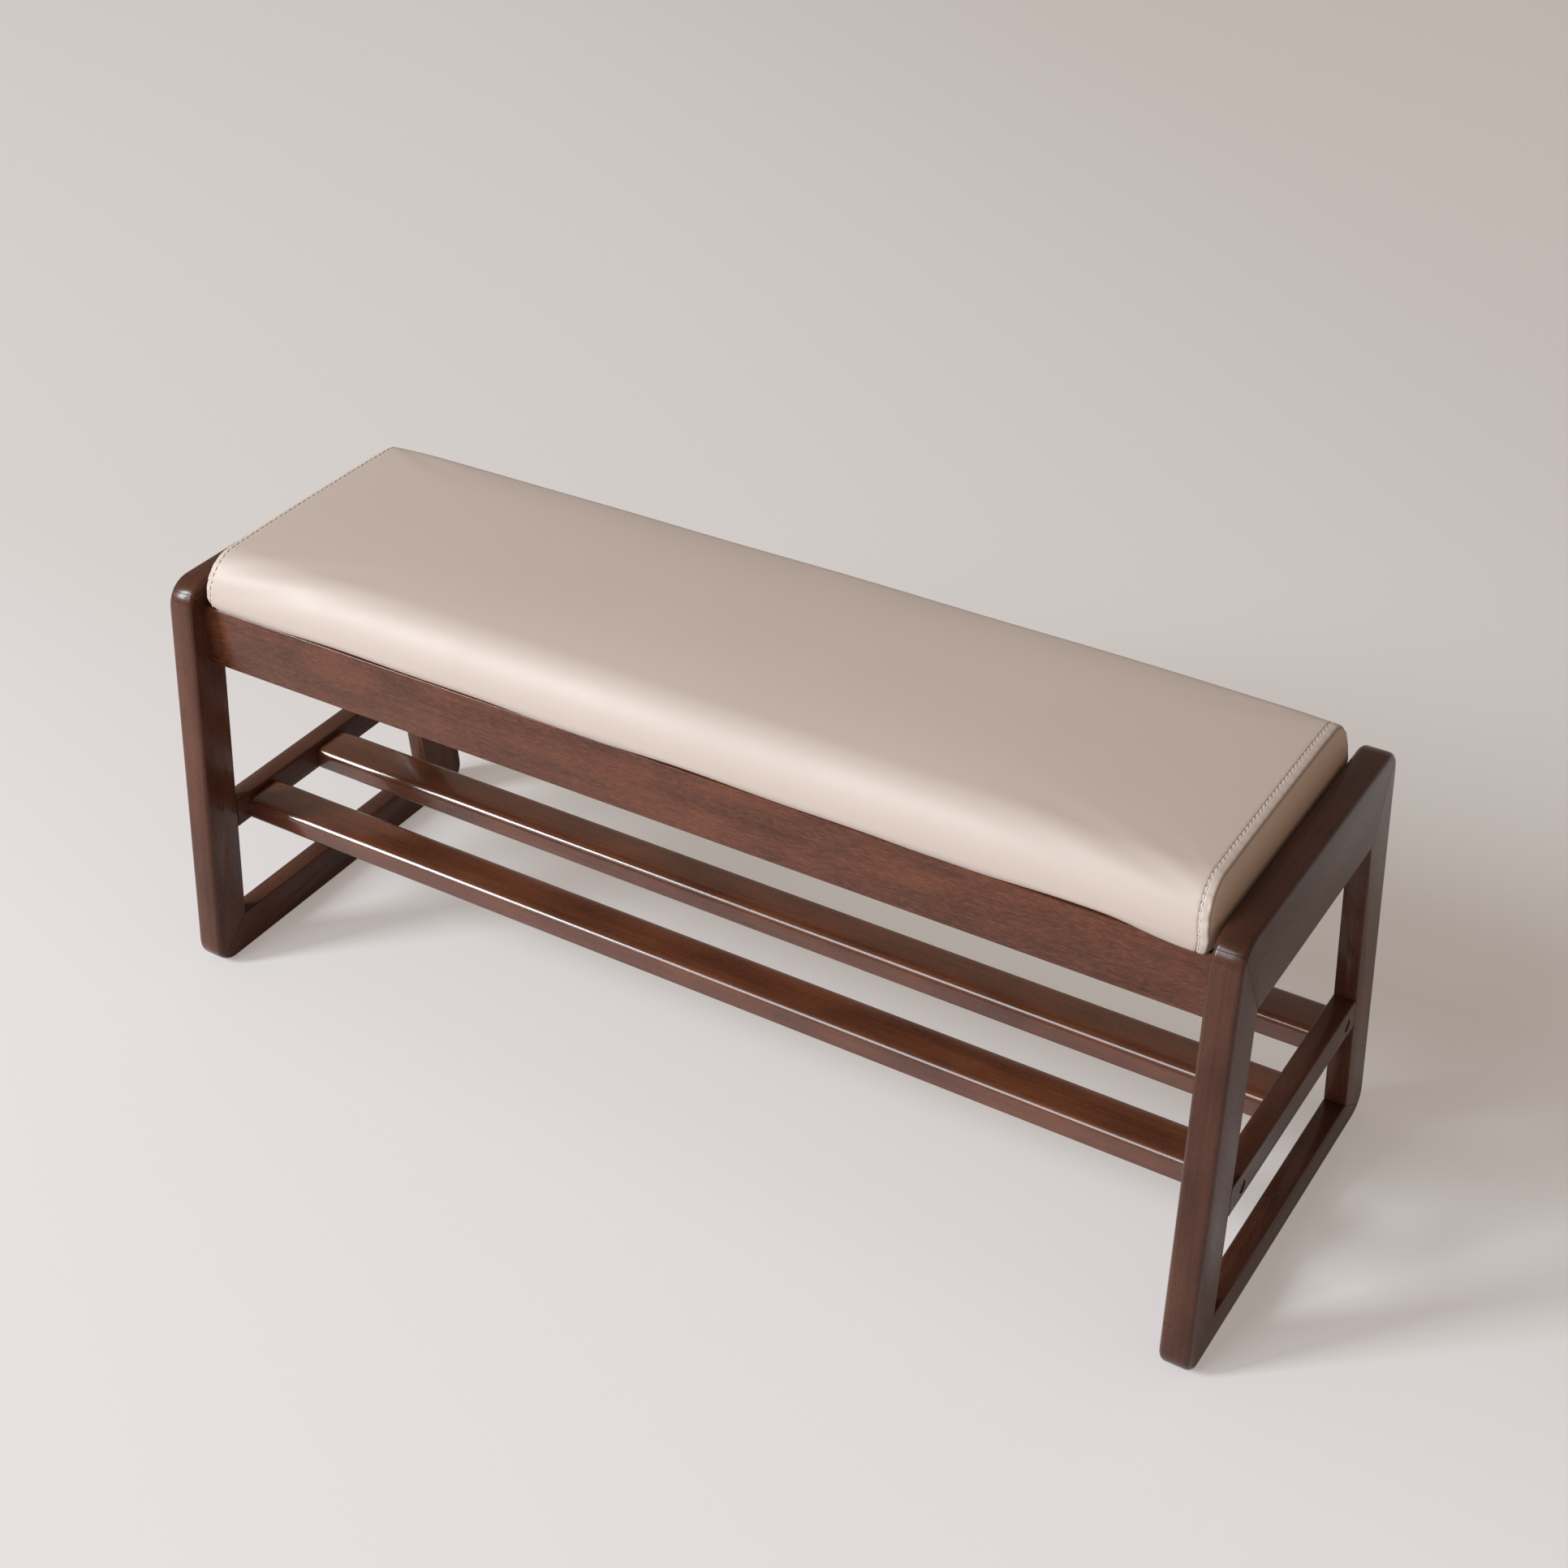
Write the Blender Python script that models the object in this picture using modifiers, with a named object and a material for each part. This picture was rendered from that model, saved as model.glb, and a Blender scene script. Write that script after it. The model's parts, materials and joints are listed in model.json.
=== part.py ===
"""Shoe storage bench: two splayed end frames, aprons, a slatted shelf and a padded seat.

Metres, +Z up. X runs along the bench, the front faces -Y, and the origin lies on the floor
under the middle of the seat.
"""

import math

import bmesh
import bpy
from mathutils import Vector

# Overall sizes
FRAME_LENGTH = 1.150
FRAME_HEIGHT = 0.450
TOP_DEPTH = 0.346
FLOOR_DEPTH = 0.422

# End frames: every member is thick at the outer edge and thins towards the window
EDGE_THICKNESS = 0.030
WINDOW_THICKNESS = 0.022
LEG_WIDTH = 0.051
TOP_RAIL_HEIGHT = 0.089
BOTTOM_RAIL_HEIGHT = 0.037
SHELF_RAIL_HEIGHT = 0.031
SHELF_RAIL_TOP = 0.176
CORNER_RADIUS = 0.026
ARRIS_RADIUS = 0.005

# Aprons and the bearers between them
APRON_HEIGHT = 0.067
APRON_THICKNESS = 0.020
APRON_DROP = 0.028
APRON_SETBACK = 0.019
BEARER_WIDTH = 0.022
BEARER_HEIGHT = 0.045
BEARER_SPACING = 0.400

# Shelf slats, a little behind the middle of the frames
SLAT_WIDTH = 0.048
SLAT_THICKNESS = 0.024
SLAT_PITCH = 0.110
SLAT_DROP = 0.006
SLAT_EDGE_RADIUS = 0.008
SHELF_SETBACK = 0.004

# Seat, a little in front of the middle of the frames
SEAT_END_GAP = 0.004
SEAT_OVERHANG = 0.003
SEAT_FORWARD = 0.004
SEAT_END_LEAN = 0.007
SEAT_EDGE_HEIGHT = 0.0585
SEAT_CROWN = 0.0125
SEAT_ROLL_RADIUS = 0.038
SEAT_TUCK_RADIUS = 0.012
SEAT_TUCK = 0.005
COVER_THICKNESS = 0.0015
BOARD_THICKNESS = 0.012
BOARD_INSET = 0.012

# Fasteners
BOLT_HEAD_DIAMETER = 0.0125
BOLT_HEAD_HEIGHT = 0.004
BOLT_SHANK_DIAMETER = 0.006
BOLT_LENGTH = 0.050
BOLT_OFFSET = 0.014
BOLT_RECESS = 0.0015
HEX_KEY_SIZE = 0.005
HEX_KEY_DEPTH = 0.0025
DOWEL_DIAMETER = 0.008
DOWEL_DEPTH = 0.012
SHELF_DOWEL_OFFSET = 0.012
APRON_DOWEL_PITCH = 0.040

# Fits
JOINT_GAP = 0.0003
HOLE_CLEARANCE = 0.0002
FOAM_CLEARANCE = 0.0007

COLLECTION_NAME = "shoe_storage_bench"
ROUND_SEGMENTS = 20
CORNER_SEGMENTS = 6
ARRIS_SEGMENTS = 3
SEAT_STATIONS = 18
SEAT_PROFILE_STEPS = 4

SHELF_RAIL_BOTTOM = SHELF_RAIL_TOP - SHELF_RAIL_HEIGHT
SLAT_TOP = SHELF_RAIL_TOP - SLAT_DROP
SLAT_MID = SLAT_TOP - SLAT_THICKNESS / 2
APRON_TOP = FRAME_HEIGHT - APRON_DROP
APRON_SPACING = TOP_DEPTH - 2 * APRON_SETBACK
APRON_MID = (APRON_SPACING - APRON_THICKNESS) / 2
SEAT_LENGTH = FRAME_LENGTH - 2 * (EDGE_THICKNESS + SEAT_END_GAP)
SEAT_DEPTH = APRON_SPACING + 2 * SEAT_OVERHANG
SEAT_BOTTOM = APRON_TOP + JOINT_GAP

WOOD = ("stained_wood", (0.075, 0.030, 0.019), 0.38, 0.0)
PALE_WOOD = ("plain_wood", (0.50, 0.34, 0.19), 0.60, 0.0)
LEATHERETTE = ("leatherette", (0.56, 0.47, 0.39), 0.52, 0.0)
FOAM = ("foam", (0.85, 0.80, 0.62), 0.95, 0.0)
STEEL = ("black_steel", (0.05, 0.045, 0.045), 0.40, 0.9)


def clear_scene():
    for item in list(bpy.data.objects):
        bpy.data.objects.remove(item, do_unlink=True)


def new_collection(name):
    collection = bpy.data.collections.new(name)
    bpy.context.scene.collection.children.link(collection)
    return collection


def material_for(name, look):
    """One Principled material for each piece."""
    _, colour, roughness, metallic = look
    material = bpy.data.materials.new(name)
    material.use_nodes = True
    shader = material.node_tree.nodes["Principled BSDF"]
    shader.inputs["Base Color"].default_value = (*colour, 1.0)
    shader.inputs["Roughness"].default_value = roughness
    shader.inputs["Metallic"].default_value = metallic
    return material


class Bench:
    """Holds the two collections and adds pieces and cutters to them."""

    def __init__(self):
        self.parts = new_collection(COLLECTION_NAME)
        self.cutters = new_collection(COLLECTION_NAME + "_cutters")

    def add(self, name, bm, look, smooth_angle=None):
        item = self._object(name, bm, self.parts)
        item.data.materials.append(material_for(name, look))
        if smooth_angle is not None:
            item.data.shade_smooth()
            item.data.set_sharp_from_angle(angle=math.radians(smooth_angle))
        return item

    def cutter(self, name, bm):
        item = self._object(name, bm, self.cutters)
        item.hide_render = True
        item.display_type = "WIRE"
        return item

    def _object(self, name, bm, collection):
        mesh = bpy.data.meshes.new(name)
        face_outwards(bm).to_mesh(mesh)
        bm.free()
        item = bpy.data.objects.new(name, mesh)
        collection.objects.link(item)
        return item


def combine(item, cutter, operation):
    modifier = item.modifiers.new(cutter.name, "BOOLEAN")
    modifier.operation = operation
    modifier.solver = "EXACT"
    modifier.object = cutter


def cut(item, cutter):
    combine(item, cutter, "DIFFERENCE")


def face_outwards(bm):
    bm.normal_update()
    bmesh.ops.recalc_face_normals(bm, faces=bm.faces)
    return bm


def mapped_cube(place):
    """A cube whose corners, given as 0 or 1 on each axis, go where place() says."""
    bm = bmesh.new()
    bmesh.ops.create_cube(bm, size=1.0)
    for vert in bm.verts:
        vert.co = place(*(round(c + 0.5) for c in vert.co))
    return face_outwards(bm)


def box(low, high):
    return mapped_cube(lambda i, j, k: Vector((high[0] if i else low[0], high[1] if j else low[1],
                                               high[2] if k else low[2])))


def rod(start, end, diameter, segments=ROUND_SEGMENTS):
    """A closed cylinder between two points."""
    start, end = Vector(start), Vector(end)
    axis = end - start
    bm = bmesh.new()
    bmesh.ops.create_cone(bm, cap_ends=True, segments=segments, radius1=diameter / 2, radius2=diameter / 2,
                          depth=axis.length)
    turn = axis.to_track_quat("Z", "Y").to_matrix().to_4x4()
    turn.translation = (start + end) / 2
    bm.transform(turn)
    return bm


# End frames

def half_depth(z):
    """Half the frame's depth at height z: the legs lean out towards the floor."""
    share = z / FRAME_HEIGHT
    return (FLOOR_DEPTH + (TOP_DEPTH - FLOOR_DEPTH) * share) / 2


def window_half_depth(z):
    return half_depth(z) - LEG_WIDTH


def frame_member(side, quad, thickness, grow=0.0):
    """A four-sided member: quad is outer start, outer end, window end, window start in (y, z)."""
    outer_start, outer_end, window_end, window_start = (Vector(point) for point in quad)
    at_edge, at_window = thickness

    def place(k, along, across):
        outer = outer_end if along else outer_start
        window = window_end if along else window_start
        y, z = window if across else outer
        depth = (at_window if across else at_edge) + grow
        return Vector((side * (FRAME_LENGTH / 2 - (depth if k else 0.0)), y, z))

    return mapped_cube(place)


def shortened(quad, start_gap, end_gap):
    """The same member drawn in along its length at either end."""
    outer_start, outer_end, window_end, window_start = (Vector(point) for point in quad)
    along = (outer_end - outer_start).normalized()
    return (outer_start + along * start_gap, outer_end - along * end_gap,
            window_end - along * end_gap, window_start + along * start_gap)


def frame_quads():
    """The frame's ring in (y, z): mitred legs, top rail and bottom rail."""
    window_top = FRAME_HEIGHT - TOP_RAIL_HEIGHT
    corners = {
        "top": (half_depth(FRAME_HEIGHT), FRAME_HEIGHT), "floor": (half_depth(0.0), 0.0),
        "window_top": (window_half_depth(window_top), window_top),
        "window_floor": (window_half_depth(BOTTOM_RAIL_HEIGHT), BOTTOM_RAIL_HEIGHT),
    }

    def corner(name, side_y):
        y, z = corners[name]
        return Vector((side_y * y, z))

    def leg(side_y):
        return tuple(corner(name, side_y) for name in ("floor", "top", "window_top", "window_floor"))

    def rail(outer, window):
        return corner(outer, -1), corner(outer, 1), corner(window, 1), corner(window, -1)

    return {"front_leg": leg(-1), "rear_leg": leg(1), "top_rail": rail("top", "window_top"),
            "bottom_rail": rail("floor", "window_floor")}


def frame_outline(side):
    """A slab with the frame's rounded outer outline and softened arrises."""
    def place(k, along, across):
        z = FRAME_HEIGHT if across else 0.0
        y = half_depth(z) * (1 if along else -1)
        return Vector((side * (FRAME_LENGTH / 2 - (EDGE_THICKNESS if k else 0.0)), y, z))

    bm = mapped_cube(place)
    corners = [edge for edge in bm.edges if abs(edge.verts[0].co.x - edge.verts[1].co.x) > EDGE_THICKNESS / 2]
    bmesh.ops.bevel(bm, geom=corners, offset=CORNER_RADIUS, offset_type="OFFSET", segments=CORNER_SEGMENTS,
                    profile=0.5, affect="EDGES")
    bm.normal_update()
    faces = [face for face in bm.faces if abs(face.normal.x) > 0.9]
    arrises = {edge for face in faces for edge in face.edges}
    bmesh.ops.bevel(bm, geom=list(arrises), offset=ARRIS_RADIUS, offset_type="OFFSET", segments=ARRIS_SEGMENTS,
                    profile=0.5, affect="EDGES")
    return bm


def add_end_frame(bench, side, label):
    outline = bench.cutter(f"outline_{label}", frame_outline(side))
    taper = (EDGE_THICKNESS, WINDOW_THICKNESS)
    members = {}
    for name, quad in frame_quads().items():
        bm = frame_member(side, shortened(quad, JOINT_GAP, JOINT_GAP), taper)
        members[name] = bench.add(f"{label}_{name}", bm, WOOD, smooth_angle=25)
        combine(members[name], outline, "INTERSECT")

    ends = [(window_half_depth(z) - JOINT_GAP, z) for z in (SHELF_RAIL_TOP, SHELF_RAIL_BOTTOM)]
    (top_y, top_z), (low_y, low_z) = ends
    quad = ((-top_y, top_z), (top_y, top_z), (low_y, low_z), (-low_y, low_z))
    flat = (WINDOW_THICKNESS, WINDOW_THICKNESS)
    members["shelf_rail"] = bench.add(f"{label}_shelf_rail", frame_member(side, quad, flat), WOOD, smooth_angle=25)
    return members


def frame_face_cutters(bench, side, label):
    """Longer members, thicker by the joint's gap, which trim what butts against the inner face."""
    taper = (EDGE_THICKNESS, WINDOW_THICKNESS)
    quads = frame_quads()
    cutters = []
    for name in ("front_leg", "rear_leg", "top_rail"):
        longer = shortened(quads[name], -LEG_WIDTH, -LEG_WIDTH)
        bm = frame_member(side, longer, taper, grow=JOINT_GAP)
        cutters.append(bench.cutter(f"face_{label}_{name}", bm))
    return cutters


# Aprons and bearers

def add_aprons(bench, face_cutters):
    reach = (FRAME_LENGTH - WINDOW_THICKNESS) / 2
    aprons = {}
    for name, side_y in (("front_apron", -1), ("rear_apron", 1)):
        outer, inner = side_y * APRON_SPACING / 2, side_y * (APRON_SPACING / 2 - APRON_THICKNESS)
        low, high = sorted((outer, inner))
        bm = box((-reach, low, APRON_TOP - APRON_HEIGHT), (reach, high, APRON_TOP))
        aprons[name] = bench.add(name, bm, WOOD)
        for cutter in face_cutters:
            cut(aprons[name], cutter)
    return aprons


def add_bearers(bench):
    reach = APRON_SPACING / 2 - APRON_THICKNESS - JOINT_GAP
    for name, side in (("left_bearer", -1), ("right_bearer", 1)):
        x = side * BEARER_SPACING / 2
        bm = box((x - BEARER_WIDTH / 2, -reach, APRON_TOP - BEARER_HEIGHT), (x + BEARER_WIDTH / 2, reach, APRON_TOP))
        bench.add(name, bm, PALE_WOOD)


# Shelf

def add_slats(bench):
    reach = FRAME_LENGTH / 2 - WINDOW_THICKNESS - JOINT_GAP
    slats = {}
    for name, place in (("front_slat", -1), ("middle_slat", 0), ("rear_slat", 1)):
        y = SHELF_SETBACK + place * SLAT_PITCH
        bm = box((-reach, y - SLAT_WIDTH / 2, SLAT_TOP - SLAT_THICKNESS), (reach, y + SLAT_WIDTH / 2, SLAT_TOP))
        long_edges = [edge for edge in bm.edges if abs(edge.verts[0].co.x - edge.verts[1].co.x) > reach]
        upper = [edge for edge in long_edges if edge.verts[0].co.z > SLAT_MID]
        bmesh.ops.bevel(bm, geom=upper, offset=SLAT_EDGE_RADIUS, offset_type="OFFSET", segments=CORNER_SEGMENTS,
                        profile=0.5, affect="EDGES")
        slats[name] = bench.add(name, bm, WOOD, smooth_angle=25)
    return slats


# Fasteners

def bolt_profile():
    """Half section of the bolt in (radius, distance from the head's face), head first."""
    head, shank = BOLT_HEAD_DIAMETER / 2, BOLT_SHANK_DIAMETER / 2
    soften = BOLT_HEAD_HEIGHT / 8
    return [(0.0, 0.0), (head - soften, 0.0), (head, soften), (head, BOLT_HEAD_HEIGHT), (shank, BOLT_HEAD_HEIGHT),
            (shank, BOLT_LENGTH - soften), (shank - soften, BOLT_LENGTH), (0.0, BOLT_LENGTH)]


def turned(profile, clearance=0.0):
    """A profile spun about X, starting at the origin and running towards +X."""
    bm = bmesh.new()
    verts = [bm.verts.new((distance, 0.0, radius + (clearance if radius else 0.0))) for radius, distance in profile]
    edges = [bm.edges.new(pair) for pair in zip(verts, verts[1:])]
    bmesh.ops.spin(bm, geom=verts + edges, axis=(1, 0, 0), cent=(0, 0, 0), angle=math.tau, steps=ROUND_SEGMENTS,
                   use_merge=True)
    bmesh.ops.remove_doubles(bm, verts=bm.verts, dist=1e-7)
    return bm


def stand_at(bm, side, x, y, z):
    """Puts a piece that runs along +X at a place on the frame, running inwards."""
    for vert in bm.verts:
        vert.co = Vector((x - side * vert.co.x, y + vert.co.y, z + vert.co.z))
    return bm


def add_shelf_bolts(bench, side, label, rail, slats):
    """Hex socket bolts that draw the shelf rail against the outer slats."""
    seat = side * (FRAME_LENGTH / 2 - BOLT_RECESS)
    bore = BOLT_HEAD_DIAMETER + 2 * HOLE_CLEARANCE
    hole = BOLT_SHANK_DIAMETER + 2 * HOLE_CLEARANCE
    head_floor = seat - side * (BOLT_HEAD_HEIGHT + HOLE_CLEARANCE)
    for name, slat, side_y in (("front", "front_slat", -1), ("rear", "rear_slat", 1)):
        y = SHELF_SETBACK + side_y * (SLAT_PITCH + BOLT_OFFSET)
        bolt = bench.add(f"{label}_{name}_bolt", stand_at(turned(bolt_profile()), side, seat, y, SLAT_MID), STEEL,
                         smooth_angle=25)
        key = rod((seat + side * HEX_KEY_DEPTH, y, SLAT_MID), (seat - side * HEX_KEY_DEPTH, y, SLAT_MID),
                  HEX_KEY_SIZE / math.cos(math.pi / 6), segments=6)
        cut(bolt, bench.cutter(f"key_{label}_{name}", key))
        outside = side * (FRAME_LENGTH / 2 + BOLT_RECESS)
        recess = rod((outside, y, SLAT_MID), (head_floor, y, SLAT_MID), bore)
        cut(rail, bench.cutter(f"recess_{label}_{name}", recess))
        tip = seat - side * (BOLT_LENGTH + JOINT_GAP)
        shank = bench.cutter(f"shank_{label}_{name}", rod((outside, y, SLAT_MID), (tip, y, SLAT_MID), hole))
        cut(rail, shank)
        cut(slats[slat], shank)


def add_dowel(bench, name, side, face_x, y, z, pieces):
    """A dowel across the joint at face_x, let into each of the given pieces."""
    def span(extra):
        return [(face_x + side * direction * (DOWEL_DEPTH + extra), y, z) for direction in (1, -1)]

    bench.add(name, rod(*span(0.0), DOWEL_DIAMETER), PALE_WOOD, smooth_angle=25)
    hole = bench.cutter(f"hole_{name}", rod(*span(JOINT_GAP), DOWEL_DIAMETER + 2 * HOLE_CLEARANCE))
    for piece in pieces:
        cut(piece, hole)


def add_dowels(bench, side, label, frame, slats, aprons):
    window_face = side * (FRAME_LENGTH / 2 - WINDOW_THICKNESS)
    for name, place in (("front", -1), ("middle", 0), ("rear", 1)):
        y = SHELF_SETBACK + place * (SLAT_PITCH - SHELF_DOWEL_OFFSET)
        add_dowel(bench, f"{label}_{name}_shelf_dowel", side, window_face, y, SLAT_MID,
                  (frame["shelf_rail"], slats[f"{name}_slat"]))

    apron_mid_z = APRON_TOP - APRON_HEIGHT / 2
    deep_face = side * (FRAME_LENGTH / 2 - (EDGE_THICKNESS + WINDOW_THICKNESS) / 2)
    for name, side_y in (("front", -1), ("rear", 1)):
        joined = (frame[f"{name}_leg"], frame["top_rail"], aprons[f"{name}_apron"])
        for height, shift in (("lower", -0.5), ("upper", 0.5)):
            z = apron_mid_z + shift * APRON_DOWEL_PITCH
            add_dowel(bench, f"{label}_{name}_{height}_apron_dowel", side, deep_face, side_y * APRON_MID, z, joined)


# Seat

def seat_profile(inset):
    """Front half of the seat's section as (y, z) from the bottom edge up to the middle of the top."""
    half = SEAT_DEPTH / 2 - inset
    floor = SEAT_BOTTOM
    shoulder = SEAT_BOTTOM + SEAT_EDGE_HEIGHT - inset
    roll = SEAT_ROLL_RADIUS - inset
    tuck = SEAT_TUCK_RADIUS
    points = [(half - SEAT_TUCK, floor)]
    for step in range(1, SEAT_PROFILE_STEPS + 1):
        share = step / SEAT_PROFILE_STEPS
        points.append((half - SEAT_TUCK * (1 - share) ** 2, floor + tuck * share))
    for step in range(1, SEAT_PROFILE_STEPS + 3):
        angle = math.pi / 2 * step / (SEAT_PROFILE_STEPS + 2)
        points.append((half - roll * (1 - math.cos(angle)), shoulder - roll * (1 - math.sin(angle))))
    edge = half - roll
    for step in range(1, SEAT_PROFILE_STEPS + 1):
        points.append((edge * (1 - step / SEAT_PROFILE_STEPS), shoulder))
    return points


def seat_section(inset):
    """The whole section, front bottom to rear bottom, before the crown is raised."""
    front = [(-y, z) for y, z in seat_profile(inset)]
    rear = [(y, z) for y, z in reversed(seat_profile(inset))]
    return front + rear[1:]


def crowned(x, y, z):
    """Places a point of the plain section, lifted by the padding's swell: most in the middle of the top."""
    along = 1.0 - 0.55 * (2 * abs(x) / SEAT_LENGTH) ** 6
    across = max(0.0, 1.0 - (2 * abs(y) / SEAT_DEPTH) ** 2)
    height = min(1.0, (z - SEAT_BOTTOM) / SEAT_EDGE_HEIGHT)
    return Vector((x, y - SEAT_FORWARD, z + SEAT_CROWN * along * across * height))


def seat_surface(half_length, inset):
    """A grid bent into the seat's tunnel: stations along X, section points across."""
    section = seat_section(inset)
    bm = bmesh.new()
    bmesh.ops.create_grid(bm, x_segments=SEAT_STATIONS, y_segments=len(section) - 1, size=0.5)
    for vert in bm.verts:
        y, z = section[round((vert.co.y + 0.5) * (len(section) - 1))]
        vert.co = crowned(2 * vert.co.x * half_length, y, z)
    return bm


def lean_ends(bm):
    """Draws the seat's ends in towards their upper seams."""
    for vert in bm.verts:
        height = (vert.co.z - SEAT_BOTTOM) / SEAT_EDGE_HEIGHT
        vert.co.x *= 1.0 - height * SEAT_END_LEAN / (SEAT_LENGTH / 2)
    return bm


def close_ends_and_bottom(bm):
    """Fills the open rim of the tunnel, first the two ends and then the bottom."""
    reach = max(vert.co.x for vert in bm.verts)
    for side in (-1, 1):
        rim = [edge for edge in bm.edges if edge.is_boundary
               and all(abs(vert.co.x - side * reach) < 1e-6 for vert in edge.verts)]
        low = [vert for vert in bm.verts if abs(vert.co.x - side * reach) < 1e-6
               and abs(vert.co.z - SEAT_BOTTOM) < 1e-6]
        rim.append(bm.edges.new(low))
        bmesh.ops.contextual_create(bm, geom=rim)
    bmesh.ops.holes_fill(bm, edges=[edge for edge in bm.edges if edge.is_boundary], sides=0)
    return bm


def add_seat(bench):
    half_length = SEAT_LENGTH / 2
    end_inner = half_length - COVER_THICKNESS
    slack = COVER_THICKNESS + FOAM_CLEARANCE

    cover = lean_ends(seat_surface(end_inner - JOINT_GAP, 0.0))
    top = bench.add("seat_cover_top", cover, LEATHERETTE, smooth_angle=40)
    shell = top.modifiers.new("cover_thickness", "SOLIDIFY")
    shell.thickness = COVER_THICKNESS
    shell.offset = -1.0

    for label, side in (("left", -1), ("right", 1)):
        bm = bmesh.new()
        face = bm.faces.new([bm.verts.new(crowned(side * half_length, y, z)) for y, z in seat_section(0.0)])
        panel = bmesh.ops.extrude_face_region(bm, geom=[face])
        for item in panel["geom"]:
            if isinstance(item, bmesh.types.BMVert):
                item.co.x = side * end_inner
        bench.add(f"seat_end_panel_{label}", lean_ends(bm), LEATHERETTE)

    filling = lean_ends(close_ends_and_bottom(seat_surface(end_inner - JOINT_GAP, slack)))
    foam = bench.add("seat_foam", filling, FOAM, smooth_angle=40)
    cut(foam, bench.cutter("board_recess", board_block(JOINT_GAP, BOARD_THICKNESS)))
    bench.add("seat_board", board_block(0.0, 0.0), PALE_WOOD)


def board_block(clearance, below):
    """The seat's board, or with a clearance the recess for it, which then also opens below."""
    half_x = SEAT_LENGTH / 2 - BOARD_INSET + clearance
    half_y = SEAT_DEPTH / 2 - BOARD_INSET + clearance
    return box((-half_x, -half_y - SEAT_FORWARD, SEAT_BOTTOM - below),
               (half_x, half_y - SEAT_FORWARD, SEAT_BOTTOM + BOARD_THICKNESS + clearance))


def main():
    clear_scene()
    bench = Bench()
    frames = {}
    face_cutters = []
    for label, side in (("left", -1), ("right", 1)):
        frames[label] = add_end_frame(bench, side, label)
        face_cutters += frame_face_cutters(bench, side, label)
    aprons = add_aprons(bench, face_cutters)
    add_bearers(bench)
    slats = add_slats(bench)
    for label, side in (("left", -1), ("right", 1)):
        add_shelf_bolts(bench, side, label, frames[label]["shelf_rail"], slats)
        add_dowels(bench, side, label, frames[label], slats, aprons)
    add_seat(bench)


main()
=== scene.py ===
"""Shoe storage bench: stained wood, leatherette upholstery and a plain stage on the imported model.

Metres, +Z up, X along the bench, the front faces -Y.
"""

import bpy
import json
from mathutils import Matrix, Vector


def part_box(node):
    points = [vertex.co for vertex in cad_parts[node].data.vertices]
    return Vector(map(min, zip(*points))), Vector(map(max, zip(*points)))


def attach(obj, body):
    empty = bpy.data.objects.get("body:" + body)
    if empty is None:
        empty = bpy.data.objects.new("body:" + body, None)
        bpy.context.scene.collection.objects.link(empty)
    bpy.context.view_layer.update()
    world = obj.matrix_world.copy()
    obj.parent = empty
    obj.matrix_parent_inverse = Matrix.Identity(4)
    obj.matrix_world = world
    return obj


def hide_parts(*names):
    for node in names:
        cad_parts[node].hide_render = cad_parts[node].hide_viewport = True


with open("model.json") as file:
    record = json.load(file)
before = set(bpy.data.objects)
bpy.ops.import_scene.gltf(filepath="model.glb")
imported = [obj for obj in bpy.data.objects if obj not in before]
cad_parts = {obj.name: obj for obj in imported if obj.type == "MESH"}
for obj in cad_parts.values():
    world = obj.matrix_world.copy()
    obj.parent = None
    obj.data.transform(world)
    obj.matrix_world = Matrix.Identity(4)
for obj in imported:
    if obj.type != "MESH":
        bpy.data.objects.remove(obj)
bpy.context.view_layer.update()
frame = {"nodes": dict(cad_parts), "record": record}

import functools
import json
import math

import bmesh
import bpy
import numpy as np
from bpy.props import FloatProperty, FloatVectorProperty, IntProperty, PointerProperty
from mathutils import Matrix, Vector

bl_info = {
    "name": "Shoe storage bench",
    "version": (1, 0, 0),
    "blender": (4, 5, 0),
    "location": "3D View > Sidebar > Bench",
    "description": "Dresses the bench: stained wood, upholstered seat, topstitching and stage",
    "category": "Object",
}

BODY = "root"
CUSHION = "seat_cushion"
COVER_NODES = ("seat_cover_top", "seat_end_panel_left", "seat_end_panel_right", "seat_foam")
SIDES = (("left", -1), ("right", 1))
SAME_POINT = 1e-6


# Settings

def size(name, description, default):
    """A length that a user may change."""
    return FloatProperty(name=name, description=description, default=default, min=0.0, precision=4,
                         subtype="DISTANCE", unit="LENGTH")


def tint(name, description, default):
    """A colour that a user may change."""
    return FloatVectorProperty(name=name, description=description, default=default, size=3, min=0.0, max=1.0,
                               subtype="COLOR")


def share(name, description, default):
    """A share from none to all that a user may change."""
    return FloatProperty(name=name, description=description, default=default, min=0.0, max=1.0,
                         subtype="FACTOR")


def power(name, description, default):
    """The power of a lamp that a user may change."""
    return FloatProperty(name=name, description=description, default=default, min=0.0, unit="POWER")


def heading(name, description, default):
    """A direction that a user may change."""
    return FloatVectorProperty(name=name, description=description, default=default, size=3, subtype="XYZ")


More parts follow.
